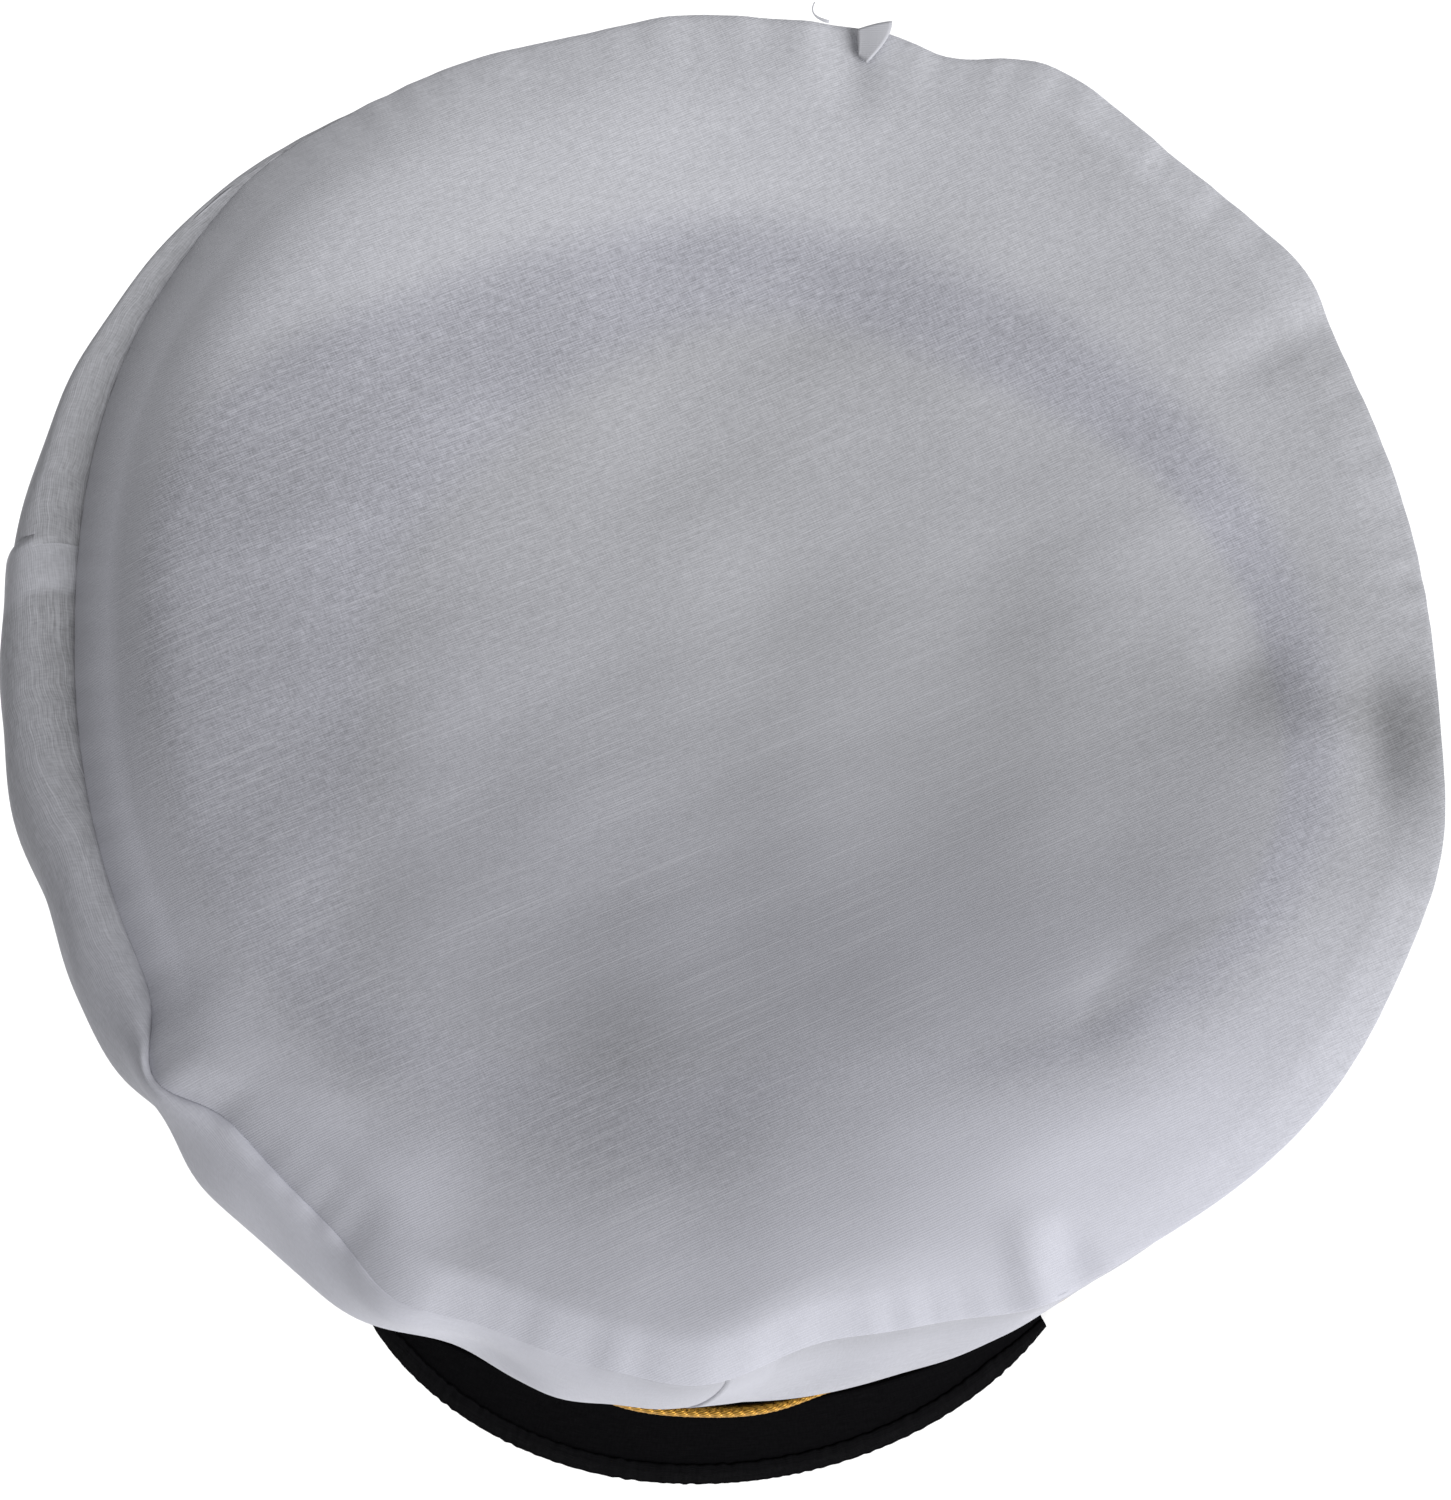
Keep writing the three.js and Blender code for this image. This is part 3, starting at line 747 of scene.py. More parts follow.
WEAVE_SOCKETS = (
    ("Cloth", "INPUT", "NodeSocketVector"),
    ("Threads per metre", "INPUT", "NodeSocketFloat"),
    ("Threads", "OUTPUT", "NodeSocketFloat"),
    ("Slubs", "OUTPUT", "NodeSocketFloat"),
    ("Relief", "OUTPUT", "NodeSocketFloat"),
)


def weave_group():
    """Plain weave from a cloth place in metres: uneven crossing threads, thick threads and their relief."""
    name = "plain_weave"
    if name in bpy.data.node_groups:
        return bpy.data.node_groups[name]
    tree = bpy.data.node_groups.new(name, "ShaderNodeTree")
    for label, way, kind in WEAVE_SOCKETS:
        tree.interface.new_socket(label, in_out=way, socket_type=kind)
    start = put(tree, "NodeGroupInput")
    place = put(tree, "ShaderNodeVectorMath",
                {0: start.outputs["Cloth"], "Scale": start.outputs["Threads per metre"]},
                operation="SCALE").outputs[0]
    weft = threads(tree, place, *WEFT_SCALES)
    warp = threads(tree, place, *WARP_SCALES)
    slub = threads(tree, place, *SLUB_SCALES, detail=0.0)
    lines = put(tree, "ShaderNodeTexWave", {"Vector": place, "Scale": WAVE_TURN, "Distortion": 1.5,
                                            "Detail": 1.0, "Detail Scale": 0.3},
                bands_direction="Y").outputs["Fac"]
    even = remap(tree, lines, *LINES_SPREAD)
    crossed = weighted(tree, weft, WEFT_SHARE, warp, WARP_SHARE)
    both = added(tree, crossed, product(tree, even, LINES_SHARE))
    put(tree, "NodeGroupOutput", {"Threads": remap(tree, both, 0.0, 1.0, *MIDDLE_LEVELS),
                                  "Slubs": remap(tree, slub, 0.0, 1.0, *SLUB_LEVELS),
                                  "Relief": weighted(tree, both, WEAVE_RELIEF, lines, LINES_RELIEF)})
    return tree


def new_material(name):
    """An empty material and its node tree."""
    material = bpy.data.materials.new(name)
    material.use_nodes = True
    material.node_tree.nodes.clear()
    return material, material.node_tree


def finish_material(tree, inputs):
    """A Principled shader with the given inputs, joined to the material's output."""
    shader = put(tree, "ShaderNodeBsdfPrincipled", inputs)
    put(tree, "ShaderNodeOutputMaterial", {"Surface": shader.outputs[0]})


def bump(tree, relief, depth):
    """A normal from a relief of a depth in metres."""
    made = put(tree, "ShaderNodeBump", {"Height": relief, "Distance": depth, "Strength": 1.0})
    return made.outputs["Normal"]


def cloth_place(tree):
    """The place on the piece's own flat cloth, in metres."""
    return put(tree, "ShaderNodeUVMap", uv_map="cloth").outputs["UV"]


def vertex_value(tree, name):
    """A number kept at each vertex."""
    return put(tree, "ShaderNodeAttribute", attribute_name=name).outputs["Fac"]


def woven(tree, spacing):
    """The plain weave on the piece's own cloth, its threads at a spacing in metres."""
    inputs = {"Cloth": cloth_place(tree), "Threads per metre": 1.0 / spacing}
    return put(tree, "ShaderNodeGroup", inputs, node_tree=weave_group()).outputs


# White cloth: what its blue does to its colour, how open it still is where a seam lies double, how much of
# its painted dark (partly the hat seen through it, partly painted shade) shows between its threads and how
# light they are, both from low to high threads, and how light its thick threads are
COOL_LIGHT = (0.975, 0.975, 1.035, 1.0)
DOUBLED_OPENNESS = 0.25
MESH_GAPS = (1.1, 0.9)
THREAD_LIGHT = (0.74, 1.26)
SLUB_LIGHT = 0.2


def white_cloth(crown):
    """Thin white weave; painted shade and the dark hat show between its threads, less at a double seam."""
    name = "white_cloth"
    if name in bpy.data.materials:
        return bpy.data.materials[name]
    material, tree = new_material(name)
    weave = woven(tree, crown.thread)
    open_weave = remap(tree, vertex_value(tree, "doubled"), 1.0, DOUBLED_OPENNESS)
    mesh_gaps = remap(tree, weave["Threads"], *MESH_GAPS)
    # The behind value is partly the hat seen through the cloth and partly painted shade and painted light
    seen = product(tree, vertex_value(tree, "behind"), mesh_gaps, open_weave)
    base = blended(tree, seen, full(crown.colour), full(crown.shade))
    threaded = times(tree, base, remap(tree, weave["Threads"], *THREAD_LIGHT))
    lit = blended(tree, vertex_value(tree, "crisp"), base, threaded)
    cooled = blended(tree, vertex_value(tree, "cool"), lit, times(tree, lit, COOL_LIGHT))
    slub_light = product(tree, weave["Slubs"], open_weave, SLUB_LIGHT)
    colour = blended(tree, slub_light, cooled, full(crown.colour))
    normal = bump(tree, weave["Relief"], depth=0.00006)
    finish_material(tree, {"Base Color": colour, "Roughness": 0.9, "Normal": normal,
                           "Specular IOR Level": 0.2, "Sheen Weight": 0.1, "Sheen Roughness": 0.5})
    return material


# How light black threads are, from low to high, and how much rougher and smoother than their cloth
BLACK_THREAD_LIGHT = (0.7, 1.35)
BLACK_ROUGHNESS_SPREAD = 0.1


def black_weave(name, colour, spacing, depth, roughness):
    """Black ribbed weave with a slight sheen along its threads."""
    material, tree = new_material(name)
    weave = woven(tree, spacing)
    shade = times(tree, full(colour), remap(tree, weave["Threads"], *BLACK_THREAD_LIGHT))
    rough = remap(tree, weave["Threads"], roughness + BLACK_ROUGHNESS_SPREAD,
                  roughness - BLACK_ROUGHNESS_SPREAD)
    normal = bump(tree, weave["Relief"], depth)
    finish_material(tree, {"Base Color": shade, "Roughness": rough, "Normal": normal, "IOR": 1.02})
    return material


# Metal thread: its slant round a strand in degrees, the scale of its turns, and how light and how rough it is
# between and on those turns
WINDING_SLANT = 35
WINDING_SCALE = 900.0
WINDING_LIGHT = (0.55, 1.15)
WINDING_ROUGHNESS = (0.6, 0.38)


def gold_thread(trim):
    """Metal thread wound round the strands of the braid."""
    material, tree = new_material("gold_thread")
    turn = (0.0, 0.0, math.radians(WINDING_SLANT))
    slanted = put(tree, "ShaderNodeMapping", {"Vector": cloth_place(tree), "Rotation": turn}).outputs[0]
    strands = put(tree, "ShaderNodeTexWave", {"Vector": slanted, "Scale": WINDING_SCALE, "Distortion": 0.6,
                                              "Detail": 1.0}, bands_direction="X").outputs["Fac"]
    colour = times(tree, full(trim.gold), remap(tree, strands, *WINDING_LIGHT))
    rough = remap(tree, strands, *WINDING_ROUGHNESS)
    finish_material(tree, {"Base Color": colour, "Metallic": 0.75, "Roughness": rough,
                           "Normal": bump(tree, strands, depth=0.0001)})
    return material


# Brass: how rough it is from clean to handled places, and how light where it has been handled most
BRASS_ROUGHNESS = (0.2, 0.36)
BRASS_DULL = 0.8


def button_brass(trim):
    """Plain pressed brass, a little dull where it has been handled."""
    material, tree = new_material("button_brass")
    handled = object_noise(tree, scale=900.0, detail=3.0)
    rough = remap(tree, handled, *BRASS_ROUGHNESS, *MIDDLE_LEVELS)
    colour = blended(tree, handled, full(trim.brass), full([BRASS_DULL * part for part in trim.brass]))
    finish_material(tree, {"Base Color": colour, "Metallic": 1.0, "Roughness": rough,
                           "Normal": bump(tree, handled, depth=0.00002)})
    return material


# Colour of the floor where it is worn, and the most of it that shows
WORN_FLOOR = (0.8, 0.8, 0.8)
WORN_MOST = 0.02


def floor_paint(stage):
    """Plain pale floor, hardly uneven."""
    material, tree = new_material("floor_paint")
    uneven = object_noise(tree, scale=3.0, detail=2.0)
    worn = remap(tree, uneven, 0.0, WORN_MOST, *MIDDLE_LEVELS)
    colour = blended(tree, worn, full(stage.floor_colour), full(WORN_FLOOR))
    finish_material(tree, {"Base Color": colour, "Roughness": 0.7})
    return material


def dress(piece, material, slot, *nodes):
    """Gives a piece its material, the solids it stands for and the body it moves with; its slot is not used.
    """
    piece.data.materials.append(material)
    if nodes:
        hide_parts(*nodes)
    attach(piece, "root")


# Pieces

# How far the crown top's edge rolls out and down at its seam, in metres
ROLL_OUT = 0.0001
ROLL_DOWN = 0.0006

# Heights of the crown's ripples, in metres: broad and fine slack of its top, the ripple of its seam, and the
# slack and the gathers of its side panels
TOP_SLACK = 0.0002
TOP_CREASES = 0.00007
SEAM_RIPPLE = 0.0002
PANEL_SLACK = 0.0005
PANEL_GATHERS = 0.0002

# How near to a seam, in metres, the slack of the top and of a panel dies away, and the seam's ripple starts
TOP_CALM = 0.012
PANEL_CALM = 0.01
RIPPLE_REACH = 0.006

# Where on a panel's climb from the band (0) to the crown's seam (1) its gathers end, and start and span there
# of the seam's ripple and of the painted shadow that the crown top casts under that seam. The last is how
# much that painted shadow deepens the panel's painted shade
GATHERS_END = 0.25
RIPPLE_CLIMB = (0.8, 0.2)
PAINTED_SEAM_SHADOW_CLIMB = (0.7, 0.3)
PAINTED_SEAM_SHADOW = 0.55

# Seam allowance of a side panel: its width and the softness of its edge in metres, and how far it closes the
# weave and smooths the threads
SEAM_ALLOWANCE = 0.0077
ALLOWANCE_SOFTNESS = 0.0006
ALLOWANCE_DOUBLED = 0.42
ALLOWANCE_SMOOTHING = 0.7

# How far a panel's start laps over its neighbour, where that is plain to see and elsewhere, and how far its
# end is tucked in, each with the length in which it dies away, in metres
LAP_PLAIN = 0.0008
LAP_SLIGHT = 0.0001
LAP_LENGTH = 0.008
TUCK_DEPTH = 0.0004
TUCK_LENGTH = 0.003

# How far, in degrees, the end of a side panel runs on under the start of the next
SEAM_TUCK = 0.8

# Mean radius at which the length of a side panel is taken, the rough height that its waves climb, and the
# power of the sine by which it is free between the band and the crown's seam
PANEL_CLIMB = 0.04
FREE_POWER = 0.8

# Seam allowance of the crown top: start and span, in metres from the seam, of where it ends, and how much
# less of it shows at a thin seam
TOP_ALLOWANCE = (0.006, 0.002)
THIN_SEAM_LESS = 0.8

# Where the crown's seam allowance hardly shows: angle and half-width in degrees
THIN_SEAMS = ((15.0, 35.0), (219.0, 8.0))

# The panel whose seam allowance lies plain to see, and the panel whose seam ends in a tab and a loose thread
DOUBLED_PANEL = "quarter_front_left"
TABBED_PANEL = "quarter_back_left"

# Corners of that tab and turns of that thread on the crown top, by angle and by reach from its middle (0) to
# its seam (1)
TAB_CORNERS = ((85.3, 0.994), (84.8, 0.956), (82.5, 1.017), (82.15, 0.9925), (84.0, 0.946))
THREAD_PLACES = ((87.7, 1.004), (89.6, 1.008), (89.0, 1.032))

# How clearly threads show at most, and how much clearer over the ring that shows through
CRISPEST = 0.65
RING_CRISPER = 0.35

# Where on the level hat the sagging crown top is smoothest, how far that reaches, and how much smoother it is
SMOOTH_PLACE = (0.028, -0.012)
SMOOTH_REACH = 0.06
SMOOTH_LESS = 0.75

# The same for cloth that stands high: start and span of that height above the floor
HIGH_SMOOTH = (0.06, 0.03)
HIGH_LESS = 0.7

# And for the crown top's edge at the left: half its width in degrees, and start and span from the seam
LEFT_WIDTH = 40.0
LEFT_EDGE = (0.009, 0.006)
LEFT_LESS = 0.8

# How blue cloth looks that stands high, with start and span of that height, and cloth over the ring
HIGH_COOL = (0.05, 0.03)
HIGH_COOLEST = 0.6
RING_COOLEST = 0.8

# How far the seam tab stands off the crown top, and how much more at its raised corner
TAB_LIFT = 0.0005
TAB_CURL = 0.0004

# Radius of the loose thread, how much thinner it gets, and over which share of its length
THREAD_RADIUS = 0.0003
THREAD_TAPER = 0.00018
THREAD_TAPERS = 0.6

# The most of the peak's board that its binding covers, near the ends of the peak
BINDING_MOST = 0.5

# Binding, in metres: its clearance from the board, how far it stands past the board's edge, how much thinner
# its lips are, and how far its lips waver
BINDING_CLEARANCE = 0.00005
BINDING_NOSE = 0.00105
BINDING_LIP = 0.00055
BINDING_WAVER = 0.00022

# How much its thickness varies, and how far its inside stands past the board's edge, as a share of its height
# over the board's middle
BINDING_SWELL = 0.05
BINDING_INSIDE = 0.2

# A strand's radius as a share of half the braid's thickness, and its width as a share of its thickness
STRAND_SHARE = 0.8
STRAND_WIDTH = 1.25

# A button's dome: its radius as a share of the button's, and its foot as a share of the rim's height
DOME_SHARE = 0.9
DOME_FOOT = 0.8


def rolled_edge(points, steps, across, drop):
    """Rows that carry an edge on round a half turn: out by a sine and down by a cosine."""
    share = np.linspace(0.0, 1.0, steps + 1)[1:, None, None]
    edge = points[-1:]
    inside = points[-2:-1]
    out = (edge - inside) * np.array([1.0, 1.0, 0.0])
    out = out / np.linalg.norm(out, axis=-1, keepdims=True)
    return edge + out * across * np.sin(math.pi * share) - UP * drop * (1.0 - np.cos(math.pi * share)) / 2.0


def shadow_column(column, angle):
    """One column of the dark painted into the crown top, in metres, or as a share for its darkness."""
    scale = 1.0 if column in ("hollow", "ring", "beyond") else MM
    return round_curve(SHADOW[column] * scale, angle)


def see_through_and_painted_shade(crown, x, y):
    """How dark the crown top is painted, partly the hat seen through it and partly painted shade and painted
    light: its hollow, then the ring of its band, then what lies beyond.

    Also how fully each place lies over that ring.
    """
    angle = np.degrees(np.arctan2(y, x))
    radius = np.hypot(x, y)
    columns = [shadow_column(column, angle) for column in SHADOW]
    start, end, start_soft, end_soft, hollow, ring, beyond = columns
    entering = eased((radius - start) / start_soft + 0.5)
    leaving = eased((radius - end) / end_soft + 0.5)
    edge = SHADOW["hollow"]
    inside = limp_sheet(edge, angle, np.minimum(radius / start, 1.0))
    inside = inside + (hollow - limp_sheet(edge, angle, 1.0)) * entering
    patchy = 1.0 + SHADOW_PATCHINESS * waves(x, y, length=0.03, count=14, seed=41)
    darkness = ((inside + (ring - inside) * entering) * (1.0 - leaving) + beyond * leaving) * patchy
    for place_angle, place_reach, length, width, change in SHADOW_PLACES:
        middle_x, middle_y = crown_plan(crown, np.float64(place_angle), place_reach)
        across, along = turned(place_angle)
        out = ((x - middle_x) * across + (y - middle_y) * along) / (length * MM)
        aside = ((y - middle_y) * across - (x - middle_x) * along) / (width * MM)
        darkness = darkness + change * np.exp(-(out**2) - aside**2)
    for *ends, bow, width, change in SHADOW_EDGES:
        share, aside = beside_run(crown, ends, x, y)
        past = aside - 4.0 * bow * MM * share * (1.0 - share)
        here = eased(share / EDGE_COMES) * eased((1.0 - share) / EDGE_GOES) * eased(past / EDGE_SOFTNESS)
        darkness = darkness + change * here * np.exp(-np.maximum(past, 0.0) / (width * MM))
    return np.maximum(darkness, 0.0), entering * (1.0 - leaving)


def seam_ripple(angle):
    """How far the crown's seam ripples up and down, for both of the cloths that it joins."""
    return SEAM_RIPPLE * puckers(angle, lowest=50, highest=130, count=10, seed=7)


def crispness(points):
    """How clearly the threads show: less where the cloth sags smooth, and where it stands high."""
    from_dish = np.hypot(points[..., 0] - SMOOTH_PLACE[0], points[..., 1] - SMOOTH_PLACE[1])
    sagging = SMOOTH_LESS * bell(from_dish, SMOOTH_REACH)
    high = HIGH_LESS * eased(settled(points)[..., 2], *HIGH_SMOOTH)
    return CRISPEST * (1.0 - sagging) * (1.0 - high)


def coolness(points):
    """How blue the white cloth looks: more where it stands high over the front."""
    return HIGH_COOLEST * eased(settled(points)[..., 2], *HIGH_COOL)


def with_middle(values):
    """Values of the crown top's rows, after a nought for the vertex in its middle."""
    return np.concatenate([[0.0], values.ravel()])


class CAPTAIN_HAT_OT_crown_top(bpy.types.Operator):
    """Makes the round top of the crown, a limp sheet with its folds."""

    bl_idname = "captain_hat.crown_top"
    bl_label = "Crown top"

    def execute(self, context):
        crown = context.scene.captain_hat_crown
        columns = 400
        rows = 96
        edge_rows = 5
        reach, angle = np.meshgrid(np.linspace(0.0, 1.0, rows + 1)[1:], np.arange(columns) * 360.0 / columns,
                                   indexing="ij")
        points = crown_top_form(crown, angle, reach)
        x, y = points[..., 0], points[..., 1]
        from_seam = (1.0 - reach) * section("seam", angle)
        calm = eased(from_seam / TOP_CALM)
        creases = waves(x, y, length=0.018, count=14, seed=5, stretch=4.0, turn=crown.weave_turn)
        points[..., 2] += TOP_SLACK * waves(x, y, length=0.04, count=14, seed=3) * calm
        points[..., 2] += TOP_CREASES * creases * calm
        points[..., 2] += seam_ripple(angle) * bell(from_seam, RIPPLE_REACH)
        points = np.concatenate([points, rolled_edge(points, edge_rows, ROLL_OUT, ROLL_DOWN)])
        middle = crown_top_form(crown, np.zeros(1), np.zeros(1)).reshape(1, 3)
        flat = np.concatenate([middle, points.reshape(-1, 3)])
        grid = sheet_faces(rows + edge_rows, columns, True, False) + 1
        first = np.arange(columns)
        fan = np.stack([np.zeros_like(first), first + 1, (first + 1) % columns + 1], -1)
        piece = piece_object("crown_top_cloth", settled(flat), grid.tolist() + fan.tolist())
        give_map(piece, np.stack(swung(flat[:, 0], flat[:, 1], crown.weave_turn), -1))
        # Painted dark of the crown top: partly the hat seen through the cloth, partly painted shade and light
        darkness, over_ring = see_through_and_painted_shade(crown, flat[:, 0], flat[:, 1])
        give_value(piece, "behind", darkness)
        to_seam = np.zeros((rows + edge_rows, columns))
        to_seam[:rows] = from_seam
        left = LEFT_LESS * bell(angle[:1] - PANEL_SEAMS["left"], LEFT_WIDTH, 4)
        smooth = with_middle(left * (1.0 - eased(to_seam, *LEFT_EDGE)))
        give_value(piece, "crisp", (crispness(flat) + RING_CRISPER * over_ring) * (1.0 - smooth))
        give_value(piece, "cool", np.maximum(coolness(flat), RING_COOLEST * over_ring))
        doubled = 1.0 - eased(to_seam, *TOP_ALLOWANCE)
        for place, width in THIN_SEAMS:
            doubled = doubled * (1.0 - THIN_SEAM_LESS * bell(angle_from(place, angle[:1]), width, 4))
        give_value(piece, "doubled", with_middle(doubled))
        thicken(piece, crown.cloth)
        dress(piece, white_cloth(crown), "crown_cloth", "crown_top")
        return {"FINISHED"}


def seam_tab(crown):
    """The end of the back seam's allowance, folded over the crown top, with a bent right side."""
    rows, columns = 12, 10
    down = np.linspace(0.0, 1.0, rows)[:, None, None]
    across = np.linspace(0.0, 1.0, columns)[:, None]
    top_left, bottom_left, top_right, bulge, bottom_right = (np.array(place) for place in TAB_CORNERS)
    left = top_left + (bottom_left - top_left) * down
    right = bent(top_right, bulge, bottom_right, down)
    place = left + (right - left) * across
    lift = TAB_LIFT + TAB_CURL * (1.0 - across) * (1.0 - down)
    points = crown_top_form(crown, place[..., 0], place[..., 1]) + UP * lift
    piece = piece_object("back_seam_tab", settled(points), sheet_faces(rows, columns, False, True).tolist())
    give_map(piece, points[..., :2])
    give_value(piece, "doubled", np.ones(rows * columns))
    thicken(piece, crown.cloth)
    dress(piece, white_cloth(crown), "crown_cloth")
    return piece


def loose_thread(crown):
    """The cut end of the thread beside the back seam, a thin tube along a quadratic curve."""
    steps, corners = 14, 6
    share = np.linspace(0.0, 1.0, steps)[:, None]
    start, turn, end = (crown_top_form(crown, *np.array(place)) for place in THREAD_PLACES)
    path = bent(start, turn, end, share)
    ahead = np.gradient(path, axis=0)
    beside = np.cross(ahead, UP)
    beside /= np.linalg.norm(beside, axis=-1, keepdims=True)
    bend = np.arange(corners) * math.tau / corners
    radius = (THREAD_RADIUS - THREAD_TAPER * eased(share / THREAD_TAPERS))[..., None]
    points = path[:, None] + radius * (beside[:, None] * np.cos(bend)[:, None] + UP * np.sin(bend)[:, None])
    piece = tube_object("loose_thread", settled(points)[None])
    give_map(piece, points[..., :2])
    dress(piece, white_cloth(crown), "crown_cloth")
    return piece


def panel_relief(band, number, climb, angle, from_start, from_end):
    """How far a side panel stands off its smooth form: slack, gathers at the band, and a lap and a tuck."""
    free = np.sin(math.pi * climb) ** FREE_POWER
    calm = eased(from_start / PANEL_CALM) * eased(from_end / PANEL_CALM)
    uneven = waves(run_round(band, angle), climb * PANEL_CLIMB, length=0.022, count=12, seed=11 + number)
    slack = PANEL_SLACK * uneven * free**2 * calm
    gathered = puckers(angle, lowest=60, highest=150, count=10, seed=21)
    gather = PANEL_GATHERS * gathered * (1.0 - eased(climb / GATHERS_END))
    plain = PANELS[number][0] == DOUBLED_PANEL
    lap = (LAP_PLAIN if plain else LAP_SLIGHT) * np.exp(-from_start / LAP_LENGTH) * free
    tuck = -TUCK_DEPTH * eased(0.5 - from_end / TUCK_LENGTH) * free
    return slack + gather + lap + tuck


class CAPTAIN_HAT_OT_side_panels(bpy.types.Operator):
    """Makes the four side panels of the crown, from the band up to the seam of the crown top."""

    bl_idname = "captain_hat.side_panels"
    bl_label = "Side panels"

    def execute(self, context):
        crown = context.scene.captain_hat_crown
        band = context.scene.captain_hat_band
        columns = 140
        rows = 48
        for number, (name, start, end, tall) in enumerate(PANELS):
            climb, angle = np.meshgrid(np.linspace(0.0, 1.0, rows),
                                       np.linspace(start, end + SEAM_TUCK, columns), indexing="ij")
            points = side_form(crown, band, angle, climb)
            points[..., 2] += seam_ripple(angle) * eased(climb, *RIPPLE_CLIMB)
            from_start = run_round(band, angle - start)
            from_end = run_round(band, end - angle)
            relief = panel_relief(band, number, climb, angle, from_start, from_end)
            points = points + outwards(band, angle) * relief[..., None]
            faces = sheet_faces(rows, columns, False, True).tolist()
            piece = piece_object(name + "_cloth", settled(points), faces)
            give_map(piece, np.stack([lengths(points, 1), lengths(points, 0)], -1))
            # Painted shade on the panel, deepened by a painted shadow under the crown's seam
            painted_seam_shadow = 1.0 + PAINTED_SEAM_SHADOW * eased(climb, *PAINTED_SEAM_SHADOW_CLIMB)
            give_value(piece, "behind", np.maximum(round_curve(PANEL_SHADOW, angle), 0.0) * painted_seam_shadow)
            give_value(piece, "cool", coolness(points))
            doubled = ALLOWANCE_DOUBLED * (1.0 - eased(from_start, SEAM_ALLOWANCE, ALLOWANCE_SOFTNESS))
            give_value(piece, "crisp", crispness(points) * (1.0 - ALLOWANCE_SMOOTHING * doubled))
            give_value(piece, "doubled", doubled)
            thicken(piece, crown.cloth)
            dress(piece, white_cloth(crown), "crown_cloth", name)
            ends = [seam_tab(crown), loose_thread(crown)] if name == TABBED_PANEL else []
        return {"FINISHED"}


class CAPTAIN_HAT_OT_head_band(bpy.types.Operator):
    """Makes the black head band, an oval ring with rounded edges."""

    bl_idname = "captain_hat.head_band"
    bl_label = "Head band"

    def execute(self, context):
        band = context.scene.captain_hat_band
        steps = 240
        side = 10
        turn = 6
        half = band.wall / 2.0
        climb = np.linspace(half, band.height - half, side)
        bend = np.linspace(0.0, math.pi, turn + 1)[1:-1]
        inset = np.concatenate([np.zeros(side), half - half * np.cos(bend), np.full(side, band.wall),
                                half + half * np.cos(bend)])
        height = np.concatenate([climb, band.height - half + half * np.sin(bend), climb[::-1],
                                 half - half * np.sin(bend)])
        angle = np.broadcast_to((np.arange(steps) * 360.0 / steps)[:, None], (steps, len(inset)))
        points = beside_band(band, angle, np.broadcast_to(-inset, angle.shape),
                             np.broadcast_to(height, angle.shape))
        piece = tube_object("head_band_ring", settled(points)[None], True)
        give_map(piece, np.stack([run_round(band, angle), np.broadcast_to(height, angle.shape)], -1))
        material = black_weave("band_weave", band.colour, spacing=0.0009, depth=0.0002, roughness=0.75)
        dress(piece, material, "band_cloth", "head_band")
        return {"FINISHED"}


class CAPTAIN_HAT_OT_peak(bpy.types.Operator):
    """Makes the covered peak board."""

    bl_idname = "captain_hat.peak"
    bl_label = "Peak"

    def execute(self, context):
        peak = context.scene.captain_hat_peak
        band = context.scene.captain_hat_band
        steps = 120
        side = 24
        turn = 6
        half = peak.board / 2.0
        down = np.linspace(0.0, 1.0, side)
        bend = np.linspace(0.0, math.pi, turn + 1)[1:-1]
        share = np.concatenate([down, np.ones(turn - 1), down[::-1], np.zeros(turn - 1)])
        past = np.concatenate([np.zeros(side), half * (np.sin(bend) - 1.0), np.zeros(side + turn - 1)])
        lift = np.concatenate([np.full(side, half), half * np.cos(bend),
                               np.full(side, -half), -half * np.cos(bend)])
        angle = peak_angles(peak, steps, len(share))
        distance = share * peak_depth(peak, angle) + past
        points = peak_form(peak, band, angle, distance, np.broadcast_to(lift, angle.shape))
        piece = tube_object("peak_board", settled(points)[None])
        give_map(piece, np.stack([run_round(band, angle), distance], -1))
        material = black_weave("peak_cover", peak.colour, spacing=0.0005, depth=0.00006, roughness=0.6)
        dress(piece, material, "peak_cover", "peak")
        return {"FINISHED"}


